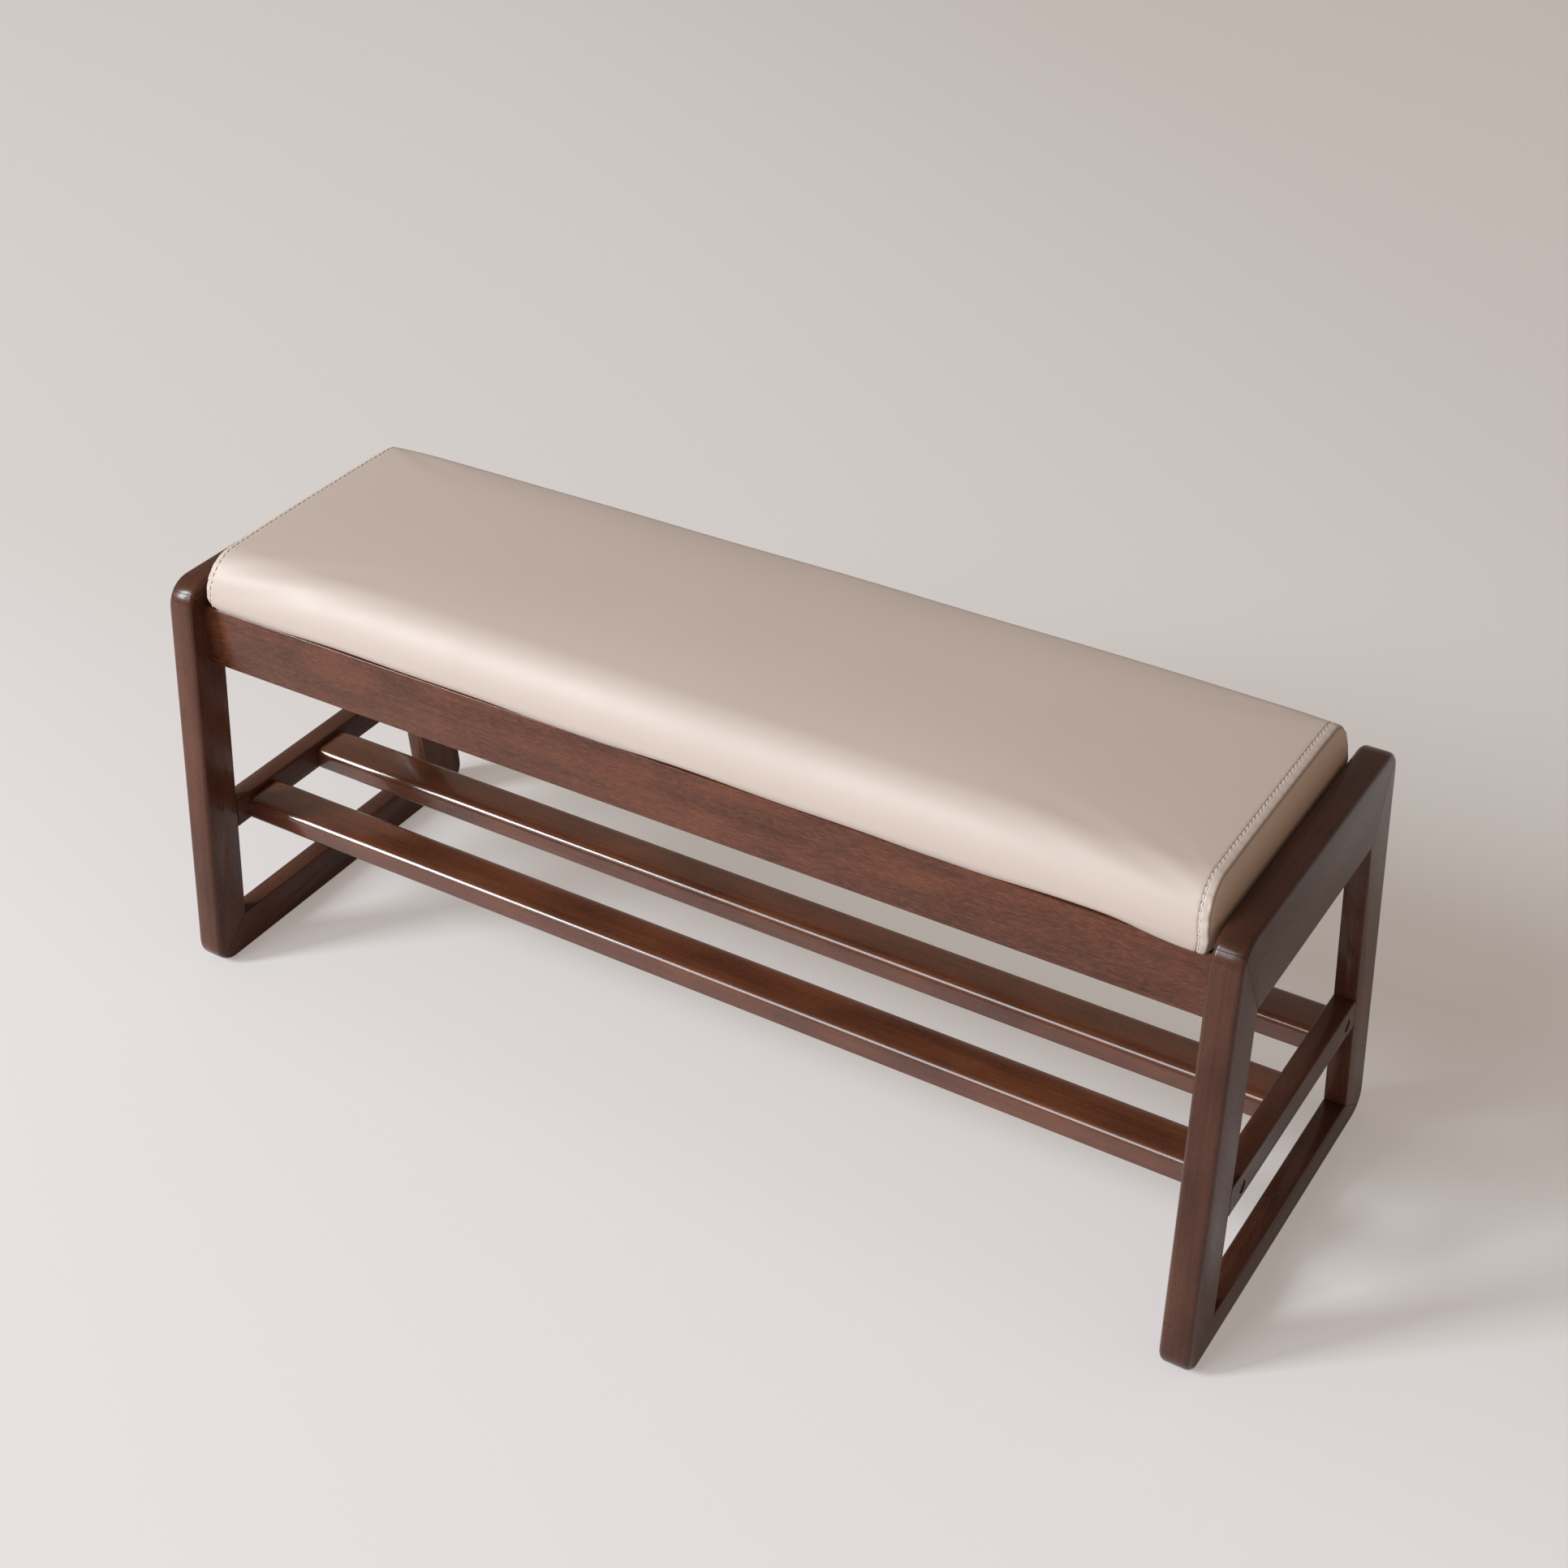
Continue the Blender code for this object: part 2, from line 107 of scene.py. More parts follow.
class BenchSeatSettings(bpy.types.PropertyGroup):
    """Sizes and colours of the upholstered seat."""

    crown: size("Crown", "Rise of the padding in the middle of the seat", 0.0125)
    swell: size("Swell", "Part of the rise that the filling gives", 0.006)
    roll: size("Roll", "Radius of the front roll", 0.038)
    rear_roll: size("Rear roll", "Radius of the tighter rear roll", 0.027)
    rear_inset: size("Rear inset", "How far the rear of the cover lies inside the seat's depth", 0.0070)
    rear_tuck: size("Rear tuck", "How far the rear lower edge is drawn in", 0.0030)
    rear_bulge: size("Rear bulge", "How far the filling pushes the rear roll out between the ends", 0.0065)
    tuck: size("Tuck", "How far the cover's lower edge is drawn in", 0.0067)
    end_tuck: size("End tuck", "How far the lower edge is drawn in near its right end", 0.0040)
    tuck_height: size("Tuck height", "Height over which the lower edge is drawn in", 0.014)
    lean: size("End lean", "How far the ends lean in towards their upper seams", 0.007)
    left_drop: size("Left drop", "How far the left end seam lies below its stitching", 0.0041)
    right_drop: size("Right drop", "How far the right end seam lies below its stitching", 0.0014)
    corner_pull: size("Corner pull", "How far the lower corners are drawn in along the bench", 0.0055)
    corner_height: size("Corner height", "Height of the drawn in lower corners", 0.018)
    front_dip: size("Front dip", "How far the cover hangs over the apron at its right end", 0.0018)
    front_lift: size("Front lift", "Gap between cover and apron along the middle", 0.0014)
    stitch_inset: size("Stitch inset", "Distance of the topstitching from the end seam", 0.0090)
    stitch_pitch: size("Stitch pitch", "Distance between stitches", 0.0070)
    stitch_length: size("Stitch length", "Length of one stitch", 0.0054)
    thread_width: size("Thread width", "Width of the thread", 0.0013)
    mark_length: size("Mark length", "Length of the slanted dent beside each stitch", 0.0026)
    mark_width: size("Mark width", "Width of the slanted dent beside each stitch", 0.0010)
    dimple: size("Dimple", "Depth of the dimple where the band turns the front roll", 0.0009)
    seam_depth: size("Seam depth", "Depth of the valley along the end seam", 0.0010)
    groove_depth: size("Groove depth", "Depth of the groove that the topstitching draws in", 0.0008)
    band_rise: size("Band rise", "Height of the padded band between seam and stitching", 0.0003)
    pucker: size("Pucker", "Height of the small gathers along the stitching", 0.0003)
    fill: share("Fill", "How full the seat is stuffed", 0.85)
    pressure: FloatProperty(name="Pressure", description="Pressure of the filling in the simulation",
                            default=4.0)
    sim_frames: IntProperty(name="Frames", description="Length of the simulation", default=20, min=2)
    leather: tint("Leatherette", "Colour of the cover", (0.524, 0.420, 0.364))
    # Painted shade: the end panels are tinted warmer, standing in for the warm shade that falls on them
    end_panel_shade_tint: tint("End panel shade tint", "Colour of the end panels", (0.548, 0.398, 0.296))
    # Painted shade: colour painted into the seams and along the topstitching groove, where shade falls
    painted_seam_shade_colour: tint("Seam shade", "Colour in seams and grooves", (0.20, 0.125, 0.080))
    # Painted shade: the dark dents beside the stitches stand in for the shade in the needle holes
    dent_shade: tint("Dent shade", "Colour in the dents beside the stitches", (0.33, 0.235, 0.175))
    thread: tint("Thread", "Colour of the topstitching", (0.80, 0.70, 0.61))


class BenchWoodSettings(bpy.types.PropertyGroup):
    """Colours and gloss of the stained wood."""

    stain_light: tint("Light stain", "Lighter figure of the wood", (0.150, 0.046, 0.020))
    stain_dark: tint("Dark stain", "Darker figure of the wood", (0.050, 0.0140, 0.0070))
    pore: tint("Pores", "Colour of the filled pores", (0.016, 0.006, 0.004))
    frame_light: tint("Light frame stain", "Lighter figure of the end frames", (0.140, 0.051, 0.029))
    frame_dark: tint("Dark frame stain", "Darker figure of the end frames", (0.050, 0.0165, 0.0100))
    raw_light: tint("Raw light", "Lighter figure of the unstained wood", (0.58, 0.41, 0.25))
    raw_dark: tint("Raw dark", "Darker figure of the unstained wood", (0.40, 0.26, 0.14))
    gloss: share("Gloss", "Strength of the lacquer's clear coat", 0.14)
    slat_gloss: share("Slat gloss", "Strength of the clear coat on the slats", 0.70)
    grain_depth: size("Grain depth", "Depth of the grain in the lacquer", 0.00002)
    edge_round: size("Edge round", "Radius of the eased long edges", 0.0014)
    slat_round: size("Slat round", "Radius of the slats' lower edges", 0.0030)


class BenchStageSettings(bpy.types.PropertyGroup):
    """Floor, lights and surroundings."""

    floor: tint("Floor", "Colour of the floor near the camera", (0.806, 0.776, 0.790))
    # Painted falloff of light: the floor is darker just behind the bench and darker still far behind it
    floor_middle: tint("Middle floor", "Colour of the floor just behind the bench", (0.702, 0.675, 0.668))
    floor_far: tint("Far floor", "Colour of the floor far behind the bench", (0.655, 0.616, 0.604))
    floor_glow: share("Floor glow", "Share of the floor's tone that the camera sees without any shadow", 0.40)
    glow_tint: tint("Glow tint", "Warm tint of the floor glow", (1.0, 0.945, 0.880))
    reflected_glow: share("Reflected glow", "Share of the floor glow that reflections show", 0.10)
    floor_span: size("Floor span", "Side of the floor", 24.0)
    key_power: power("Key power", "Power of the key softbox", 1440.0)
    key_width: size("Key width", "Width of the key softbox", 2.2)
    key_height: size("Key height", "Height of the key softbox", 5.6)
    key_from: heading("Key side", "Direction of the key softbox from the bench", (-0.606, -0.615, 0.505))
    fill_power: power("Fill power", "Power of the softbox in front", 545.0)
    fill_width: size("Fill width", "Width of the softbox in front", 4.6)
    fill_height: size("Fill height", "Height of the softbox in front", 4.6)
    fill_from: heading("Fill side", "Direction of the softbox in front", (-0.270, -0.745, 0.610))
    softbox_distance: size("Softbox distance", "Distance of both softboxes from the bench", 12.0)
    softbox_colour: tint("Softbox colour", "Colour of both softboxes", (0.862, 0.950, 1.0))
    sky_colour: tint("Sky", "Colour of the surroundings", (1.0, 0.80, 0.66))
    sky_low: share("Low sky", "Brightness of the surroundings near the horizon", 0.50)
    sky_high: share("High sky", "Brightness of the surroundings overhead", 0.25)


# Small helpers

def add_object(name, data):
    """A new object in the scene."""
    item = bpy.data.objects.new(name, data)
    bpy.context.scene.collection.objects.link(item)
    return item


def mesh_object(name, points, faces, edges=()):
    """A new object in the scene with a mesh of its own."""
    mesh = bpy.data.meshes.new(name)
    mesh.from_pydata([tuple(point) for point in points], list(edges), [tuple(face) for face in faces])
    return add_object(name, mesh)


def dress(item):
    """Makes a piece move with the bench."""
    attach(item, BODY)


def nodes_in_slot(slot):
    """Names of the bench's nodes that take a finish."""
    return [part["node"] for part in frame["record"]["subparts"] if part["material_slot"] == slot]


def by_ending(table, node):
    """The first value of a table whose ending the node's name has."""
    return next(value for ending, value in table if node.endswith(ending))


def darker(colour, part):
    """A colour with only a part of its light."""
    return [part * channel for channel in colour]


def smoothstep(low, high, value):
    """Runs softly from 0 at the low value to 1 at the high one."""
    ramp = np.clip((np.asarray(value) - low) / (high - low), 0.0, 1.0)
    return ramp * ramp * (3.0 - 2.0 * ramp)


def fade(distance, reach):
    """Falls evenly from 1 at no distance to 0 at the reach."""
    return np.clip(1 - distance / reach, 0, 1)


def bell(value, middle, width):
    """A soft bump of height 1 over a middle."""
    return np.exp(-((value - middle) / width) ** 2)


def waves(stations, table):
    """Sum of waves along X, each with its height, rate and phase."""
    return sum(height * np.sin(rate * stations + phase) for height, rate, phase in table)


def cubic_at(values, where):
    """Values along the first axis at fractional places, through a smooth curve."""
    last = len(values) - 1
    base = np.clip(np.floor(where).astype(int), 0, last - 1)
    t = (where - base).reshape((-1,) + (1,) * (values.ndim - 1))
    before, here = values[np.maximum(base - 1, 0)], values[base]
    ahead, beyond = values[base + 1], values[np.minimum(base + 2, last)]
    bend = 2 * before - 5 * here + 4 * ahead - beyond
    twist = 3 * here - before - 3 * ahead + beyond
    return here + 0.5 * t * (ahead - before + t * (bend + t * twist))


# Node helpers

# Sockets of a Mix node that blends colours: factor, first colour, second colour, and its result
MIX_INPUTS = (0, 6, 7)
MIX_RESULT = 2
# Vector operations whose result is a number
MEASURES = ("DOT_PRODUCT", "LENGTH", "DISTANCE")


class Nodes:
    """Adds and links nodes of one tree."""

    def __init__(self, tree):
        self.tree = tree

    def set(self, socket, value):
        """Links a socket to an output or gives it a value; a plain colour is made opaque."""
        if isinstance(value, bpy.types.NodeSocket):
            self.tree.links.new(value, socket)
        elif socket.type == "RGBA":
            socket.default_value = (*value, 1.0)
        else:
            socket.default_value = value

    def put(self, node, **inputs):
        """Sets inputs of a node by name, with an underscore for each space."""
        for name, value in inputs.items():
            label = name.replace("_", " ")
            named = (socket for socket in node.inputs if socket.name == label and socket.enabled)
            self.set(next(named), value)

    def add(self, kind, settings=None, **inputs):
        """A new node with its settings and inputs."""
        node = self.tree.nodes.new(kind)
        for name, value in (settings or {}).items():
            setattr(node, name, value)
        self.put(node, **inputs)
        return node

    def group(self, tree, **inputs):
        """Outputs of a shader node group."""
        return self.add("ShaderNodeGroup", {"node_tree": tree}, **inputs).outputs

    def place(self):
        """Object coordinates."""
        return self.add("ShaderNodeTexCoord").outputs["Object"]

    def math(self, operation, first, second=0.0, clamp=False):
        node = self.add("ShaderNodeMath", {"operation": operation, "use_clamp": clamp})
        for socket, value in zip(node.inputs, (first, second)):
            self.set(socket, value)
        return node.outputs[0]

    def vector(self, operation, first, second=None):
        node = self.add("ShaderNodeVectorMath", {"operation": operation})
        self.set(node.inputs[0], first)
        if second is not None:
            self.set(node.inputs["Scale" if operation == "SCALE" else 1], second)
        return node.outputs["Value" if operation in MEASURES else "Vector"]

    def noise(self, vector, scales, detail=2.0, roughness=0.5):
        """Noise with a scale along each axis."""
        node = self.add("ShaderNodeTexNoise", Vector=self.vector("MULTIPLY", vector, scales), Scale=1.0,
                        Detail=detail, Roughness=roughness)
        return node.outputs["Fac"]

    def ramp(self, value, low, high, to_low=0.0, to_high=1.0):
        node = self.add("ShaderNodeMapRange", Value=value, From_Min=low, From_Max=high, To_Min=to_low,
                        To_Max=to_high)
        return node.outputs[0]

    def mix(self, factor, first, second):
        node = self.add("ShaderNodeMix", {"data_type": "RGBA"})
        for number, value in zip(MIX_INPUTS, (factor, first, second)):
            self.set(node.inputs[number], value)
        return node.outputs[MIX_RESULT]


def new_tree(name, kind, inputs, outputs):
    """A new tree with named sockets: returns its nodes, the values it is given and its output node."""
    tree = bpy.data.node_groups.new(name, kind)
    for in_out, sockets in (("INPUT", inputs), ("OUTPUT", outputs)):
        for socket, value_type in sockets.items():
            tree.interface.new_socket(socket, in_out=in_out, socket_type=f"NodeSocket{value_type}")
    return Nodes(tree), tree.nodes.new("NodeGroupInput").outputs, tree.nodes.new("NodeGroupOutput")


def geometry_tree(name, inputs=None):
    """A new tree that takes one geometry and further inputs, and gives one geometry."""
    return new_tree(name, "GeometryNodeTree", {"Geometry": "Geometry", **(inputs or {})},
                    {"Geometry": "Geometry"})


def built_once(build):
    """Lets a function give the node tree of its own name, and build it only when there is none yet."""
    @functools.wraps(build)
    def tree():
        return bpy.data.node_groups.get(build.__name__) or build(build.__name__)
    return tree


def add_tree(item, tree, values=None):
    """Puts a geometry tree on an object and sets its inputs by their sockets' identifiers."""
    modifier = item.modifiers.new(tree.name, "NODES")
    modifier.node_group = tree
    for socket in tree.interface.items_tree:
        if socket.in_out == "INPUT" and socket.name in (values or {}):
            modifier[socket.identifier] = values[socket.name]


# Shared finishes

# Noises of the grain: scale along and across the board, detail and roughness
GRAIN_NOISES = {
    "streaks": (5.0, 260.0, 5.0, 0.62),
    "blotches": (11.0, 30.0, 3.0, 0.5),
    "flecks": (150.0, 1250.0, 3.0, 0.6),
    "bands": (3.0, 60.0, 1.0, 0.5),
    "pores": (160.0, 900.0, 1.0, 0.5),
}
STREAK_WEIGHT = 0.38
BLOTCH_WEIGHT = 0.55
PORE_STRENGTH = 0.8
FLECK_HEIGHT = 0.5
MOTTLE_SCALE = 7.0
TOOTH_SCALE = 900.0
# Ranges of a noise that run from none to all of what it makes
FIGURE_RANGE = (0.30, 0.70)
BAND_RANGE = (0.45, 0.58)
PORE_RANGE = (0.66, 0.71)
POLISH_RANGE = (0.25, 0.75)
MOTTLE_RANGE = (0.32, 0.68)


@built_once
def wood_grain(name):
    """Figure, flecks and pores of a board whose grain runs along the vector's X."""
    nodes, given, result = new_tree(
        name, "ShaderNodeTree",
        {"Vector": "Vector", "Light": "Color", "Dark": "Color", "Pore": "Color", "Flecks": "Float",
         "Pores": "Float", "Low Roughness": "Float", "High Roughness": "Float"},
        {"Color": "Color", "Roughness": "Float", "Height": "Float"})
    noises = {kind: nodes.noise(given["Vector"], (along, across, across), detail, roughness)
              for kind, (along, across, detail, roughness) in GRAIN_NOISES.items()}
    weights = {"streaks": STREAK_WEIGHT, "blotches": BLOTCH_WEIGHT, "flecks": given["Flecks"]}
    streaks, blotches, flecks = [
        nodes.math("MULTIPLY", nodes.ramp(noises[kind], *FIGURE_RANGE, -0.5, 0.5), weight)
        for kind, weight in weights.items()]
    figure = nodes.math("ADD", nodes.math("ADD", streaks, blotches), flecks)
    figure = nodes.math("ADD", figure, 0.5, clamp=True)
    in_bands = nodes.ramp(noises["bands"], *BAND_RANGE)
    pore_mask = nodes.math("MULTIPLY", nodes.ramp(noises["pores"], *PORE_RANGE), in_bands)
    pore_mask = nodes.math("MULTIPLY", pore_mask, given["Pores"])
    stained = nodes.mix(figure, given["Dark"], given["Light"])
    colour = nodes.mix(nodes.math("MULTIPLY", pore_mask, PORE_STRENGTH), stained, given["Pore"])
    spread = nodes.math("SUBTRACT", given["High Roughness"], given["Low Roughness"])
    uneven = nodes.math("MULTIPLY", nodes.ramp(noises["flecks"], *POLISH_RANGE), spread)
    roughness = nodes.math("ADD", given["Low Roughness"], uneven)
    height = nodes.math("SUBTRACT", nodes.math("MULTIPLY", noises["flecks"], FLECK_HEIGHT), pore_mask)
    nodes.put(result, Color=colour, Roughness=roughness, Height=height)
    return nodes.tree


@built_once
def soft_mottle(name):
    """Soft uneven tone and fine tooth that any finish shows close up."""
    nodes, given, result = new_tree(
        name, "ShaderNodeTree",
        {"Vector": "Vector", "Color": "Color", "Shade": "Color", "Amount": "Float"},
        {"Color": "Color", "Mask": "Float", "Tooth": "Float"})
    mask = nodes.ramp(nodes.noise(given["Vector"], (MOTTLE_SCALE,) * 3, detail=3.0), *MOTTLE_RANGE)
    tooth = nodes.noise(given["Vector"], (TOOTH_SCALE,) * 3)
    colour = nodes.mix(nodes.math("MULTIPLY", mask, given["Amount"]), given["Color"], given["Shade"])
    nodes.put(result, Color=colour, Mask=mask, Tooth=tooth)
    return nodes.tree


def new_material(name):
    """A new node material: returns the material, its nodes and its shader."""
    material = bpy.data.materials.new(name)
    material.use_nodes = True
    return material, Nodes(material.node_tree), material.node_tree.nodes["Principled BSDF"]


def add_bump(nodes, shader, height, depth):
    """Gives a finish the fine relief of a height map."""
    bump = nodes.add("ShaderNodeBump", Height=height, Distance=depth)
    nodes.put(shader, Normal=bump.outputs["Normal"])


def mottled_material(name, colour, shade, amount, roughness, depth=0.0):
    """A finish of uneven tone between two roughnesses: returns material, nodes, shader and tone."""
    material, nodes, shader = new_material(name)
    tone = nodes.group(soft_mottle(), Vector=nodes.place(), Color=colour, Shade=shade, Amount=amount)
    nodes.put(shader, Base_Color=tone["Color"], Roughness=nodes.ramp(tone["Mask"], 0.0, 1.0, *roughness))
    if depth:
        add_bump(nodes, shader, tone["Tooth"], depth)
    return material, nodes, shader, tone


# Wood

LEG_LEAN = math.radians(4.8)
# How light the end frames' pieces are beside each other, as painted shade; other pieces have a stain of their
# own
SIDE_PAINTED_SHADE = {"left": 0.97, "right": 0.78}
PIECE_PAINTED_SHADE = (("_top_rail", 0.70), ("_rail", 0.78), ("_leg", 0.94), ("", None))
# Weight of the flecks and of the open pores in the grain of each kind of piece
GRAIN_FIGURES = (("_apron", (0.95, 0.15)), ("_slat", (0.45, 0.15)), ("", (0.25, 1.0)))
RAW_FIGURE = (0.4, 0.6)
# Lowest and highest roughness, and strength of the reflection under the clear coat
LACQUERS = (("_slat", ((0.22, 0.28), 0.40)), ("_apron", ((0.22, 0.30), 0.30)), ("", ((0.22, 0.30), 0.20)))
COAT_ROUGHNESS = 0.10
RAW_ROUGHNESS = (0.55, 0.70)
# How far apart in the timber two pieces lie that follow each other
TIMBER_STEP = (0.83, 0.37, 0.59)
# Edges from this length and angle on are eased, and edges from the second angle on stay crisp
LONG_EDGE = 0.12
EASED_ANGLE = 60
CRISP_ANGLE = 35
EASE_SEGMENTS = 3
# A mitre is a large face at a slant, and its round lies near it across the frame
MITRE_SLANT = 0.3
MITRE_AREA = 0.001
ROUND_SLANT = 0.12
ROUND_LEVEL = 0.05
ROUND_REACH = 0.08
ACROSS_MITRE = 0.99
# Corners whose shading is turned: distance from the mitre, facing it, distance from the round's axis
MITRE_TOUCH = 0.00003
MITRE_FACING = 0.9
ROUND_LIMIT = 0.030
BOLT_COLOUR = (0.34, 0.29, 0.26)
BOLT_SHADE = (0.22, 0.18, 0.16)


def grain_turn(node):
    """Turns Object coordinates so that their X runs along the named piece."""
    low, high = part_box(node)
    spans = high - low
    if spans.x >= max(spans.y, spans.z):
        return (0.0, 0.0, 0.0)
    if spans.y >= spans.z:
        return (0.0, 0.0, math.pi / 2)
    lean = LEG_LEAN if "_front_" in node else -LEG_LEAN
    return (lean if node.endswith("_leg") else 0.0, math.pi / 2, 0.0)


def wood_material(node, light, dark, pore, figure, polish):
    """Wood for one piece: grain along its length, in a place of its own in the timber."""
    material, nodes, shader = new_material(f"wood_{node}")
    order = sorted(frame["nodes"]).index(node)
    mapping = nodes.add("ShaderNodeMapping", Vector=nodes.place(), Rotation=grain_turn(node),
                        Location=tuple(order * step for step in TIMBER_STEP))
    grain = nodes.group(wood_grain(), Vector=mapping.outputs["Vector"], Light=light, Dark=dark, Pore=pore,
                        Flecks=figure[0], Pores=figure[1], Low_Roughness=polish[0], High_Roughness=polish[1])
    nodes.put(shader, Base_Color=grain["Color"], Roughness=grain["Roughness"])
    return material, nodes, shader, grain["Height"]


def stained_material(node, wood):
    """Lacquered wood: dull on the end frames, glossy on the slats, in between on the aprons."""
    is_slat = node.endswith("_slat")
    stains = (wood.stain_light, wood.stain_dark)
    tone = by_ending(PIECE_PAINTED_SHADE, node)
    # Painted shade: the end frames' stains are darkened piece by piece and side by side
    if tone:
        tone *= SIDE_PAINTED_SHADE[node.split("_")[0]]
        stains = (darker(wood.frame_light, tone), darker(wood.frame_dark, tone))
    figure = by_ending(GRAIN_FIGURES, node)
    polish, sheen = by_ending(LACQUERS, node)
    material, nodes, shader, height = wood_material(node, *stains, wood.pore, figure, polish)
    nodes.put(shader, Specular_IOR_Level=sheen, Coat_Weight=wood.slat_gloss if is_slat else wood.gloss,
              Coat_Roughness=COAT_ROUGHNESS)
    if not is_slat:
        add_bump(nodes, shader, height, wood.grain_depth)
    return material


def raw_material(node, wood):
    """Plain wood without stain or lacquer."""
    material, nodes, shader, height = wood_material(node, wood.raw_light, wood.raw_dark, wood.raw_dark,
                                                    RAW_FIGURE, RAW_ROUGHNESS)
    add_bump(nodes, shader, height, 2 * wood.grain_depth)
    return material


def put_on(node, material):
    """Gives a node of the bench its only material."""
    item = frame["nodes"][node]
    item.data.materials.clear()
    item.data.materials.append(material)


def sharper_than(nodes, degrees):
    """Picks the edges whose faces meet at more than an angle."""
    angle = nodes.add("GeometryNodeInputMeshEdgeAngle").outputs["Unsigned Angle"]
    return nodes.add("FunctionNodeCompare", {"data_type": "FLOAT", "operation": "GREATER_THAN"}, A=angle,
                     B=math.radians(degrees)).outputs[0]


@built_once
def long_edges(name):
    """Joins the loose triangles of a solid and marks its long sharp edges for rounding."""
    nodes, given, result = geometry_tree(name)
    joined = nodes.add("GeometryNodeMergeByDistance", Geometry=given["Geometry"], Distance=SAME_POINT)
    ends = nodes.add("GeometryNodeInputMeshEdgeVertices").outputs
    length = nodes.vector("DISTANCE", ends["Position 1"], ends["Position 2"])
    is_long = nodes.math("GREATER_THAN", length, LONG_EDGE)
    marked = nodes.math("MULTIPLY", is_long, sharper_than(nodes, EASED_ANGLE))
    stored = nodes.add("GeometryNodeStoreNamedAttribute", {"data_type": "FLOAT", "domain": "EDGE"},
                       Geometry=joined.outputs[0], Name="bevel_weight_edge", Value=marked)
    nodes.put(result, Geometry=stored.outputs[0])
    return nodes.tree


@built_once
def soft_rounds(name):
    """Shades the rounds of a solid smooth and keeps its sharp edges."""
    nodes, given, result = geometry_tree(name)
    faces = nodes.add("GeometryNodeSetShadeSmooth", {"domain": "FACE"}, Geometry=given["Geometry"])
    edges = nodes.add("GeometryNodeSetShadeSmooth", {"domain": "EDGE"}, Geometry=faces.outputs[0],
                      Selection=sharper_than(nodes, CRISP_ANGLE), Shade_Smooth=False)
    nodes.put(result, Geometry=edges.outputs[0])
    return nodes.tree


def ease_edges(node, radius):
    """Eases the long edges of a piece as sanding does and shades its rounds."""
    item = frame["nodes"][node]
    add_tree(item, long_edges())
    if radius:
        bevel = item.modifiers.new("eased_edges", "BEVEL")
        bevel.width = radius
        bevel.segments = EASE_SEGMENTS
        bevel.limit_method = "WEIGHT"
    add_tree(item, soft_rounds())


def slant(face):
    """How far a face is turned from both the depth and the height of the bench."""
    return min(abs(face.normal.y), abs(face.normal.z))


def mitre_planes(node):
    """Middle and direction of each slanting joint of a frame piece: its large flat faces at a slant."""
    joints = {}
    for face in frame["nodes"][node].data.polygons:
        if slant(face) > MITRE_SLANT:
            turned = tuple(round(part, 2) for part in face.normal)
            area, middle, direction = joints.get(turned, (0.0, Vector(), Vector()))
            joints[turned] = (area + face.area, middle + face.area * face.center,
                              direction + face.area * face.normal)
    return [(middle / area, direction.normalized())
            for area, middle, direction in joints.values() if area > MITRE_AREA]


def round_axis(node, middle, direction):
    """A point on the axis of the round at a joint, fitted to the piece's own part of that round."""
    mesh = frame["nodes"][node].data
    points = set()
    for face in mesh.polygons:
        rounded = abs(face.normal.x) < ROUND_LEVEL and slant(face) > ROUND_SLANT
        is_near = (face.center - middle).length < ROUND_REACH
        if rounded and is_near and abs(face.normal.dot(direction)) < ACROSS_MITRE:
            points.update(tuple(mesh.vertices[k].co) for k in face.vertices)
    places = np.array(sorted(points))[:, 1:]
    rows = np.column_stack([2 * places, np.ones(len(places))])
    y, z, _ = np.linalg.lstsq(rows, (places ** 2).sum(axis=1), rcond=None)[0]
    return Vector((0.0, y, z))


@built_once
def mitre_shading(name):
    """Lets a round run on over a joint: normals at the joint point away from the round's axis."""
    nodes, given, result = geometry_tree(
        name, {"Joint Middle": "Vector", "Joint Direction": "Vector", "Round Axis": "Vector"})
    normals = nodes.add("GeometryNodeInputNormal").outputs
    place = nodes.add("GeometryNodeInputPosition").outputs[0]
    from_joint = nodes.vector("SUBTRACT", place, given["Joint Middle"])
    from_axis = nodes.vector("SUBTRACT", place, given["Round Axis"])
    from_axis = nodes.vector("MULTIPLY", from_axis, (0.0, 1.0, 1.0))
    away, facing = [nodes.math("ABSOLUTE", nodes.vector("DOT_PRODUCT", vector, given["Joint Direction"]))
                    for vector in (from_joint, normals["True Normal"])]
    on_joint = nodes.math("LESS_THAN", away, MITRE_TOUCH)
    beside = nodes.math("MULTIPLY", on_joint, nodes.math("LESS_THAN", facing, MITRE_FACING))
    in_reach = nodes.math("LESS_THAN", nodes.vector("LENGTH", from_axis), ROUND_LIMIT)
    beside = nodes.math("MULTIPLY", beside, in_reach)
    sideways = nodes.add("ShaderNodeSeparateXYZ", Vector=normals["Normal"]).outputs["X"]
    outwards = nodes.math("SQRT", nodes.math("SUBTRACT", 1.0, nodes.math("MULTIPLY", sideways, sideways)))
    on_round = nodes.vector("ADD", nodes.vector("SCALE", nodes.vector("NORMALIZE", from_axis), outwards),
                            nodes.add("ShaderNodeCombineXYZ", X=sideways).outputs[0])
    turn = nodes.vector("SCALE", nodes.vector("SUBTRACT", on_round, normals["Normal"]), beside)
    turned = nodes.vector("NORMALIZE", nodes.vector("ADD", normals["Normal"], turn))
    shaded = nodes.add("GeometryNodeSetMeshNormal", {"mode": "FREE", "domain": "CORNER"},
                       Mesh=given["Geometry"], Custom_Normal=turned)
    nodes.put(result, Geometry=shaded.outputs[0])
    return nodes.tree


def even_mitres(node):
    """Lets the rounds of a frame piece run on smoothly into the pieces it is mitred to."""
    for middle, direction in mitre_planes(node):
        add_tree(frame["nodes"][node], mitre_shading(),
                 {"Joint Middle": middle, "Joint Direction": direction,
                  "Round Axis": round_axis(node, middle, direction)})


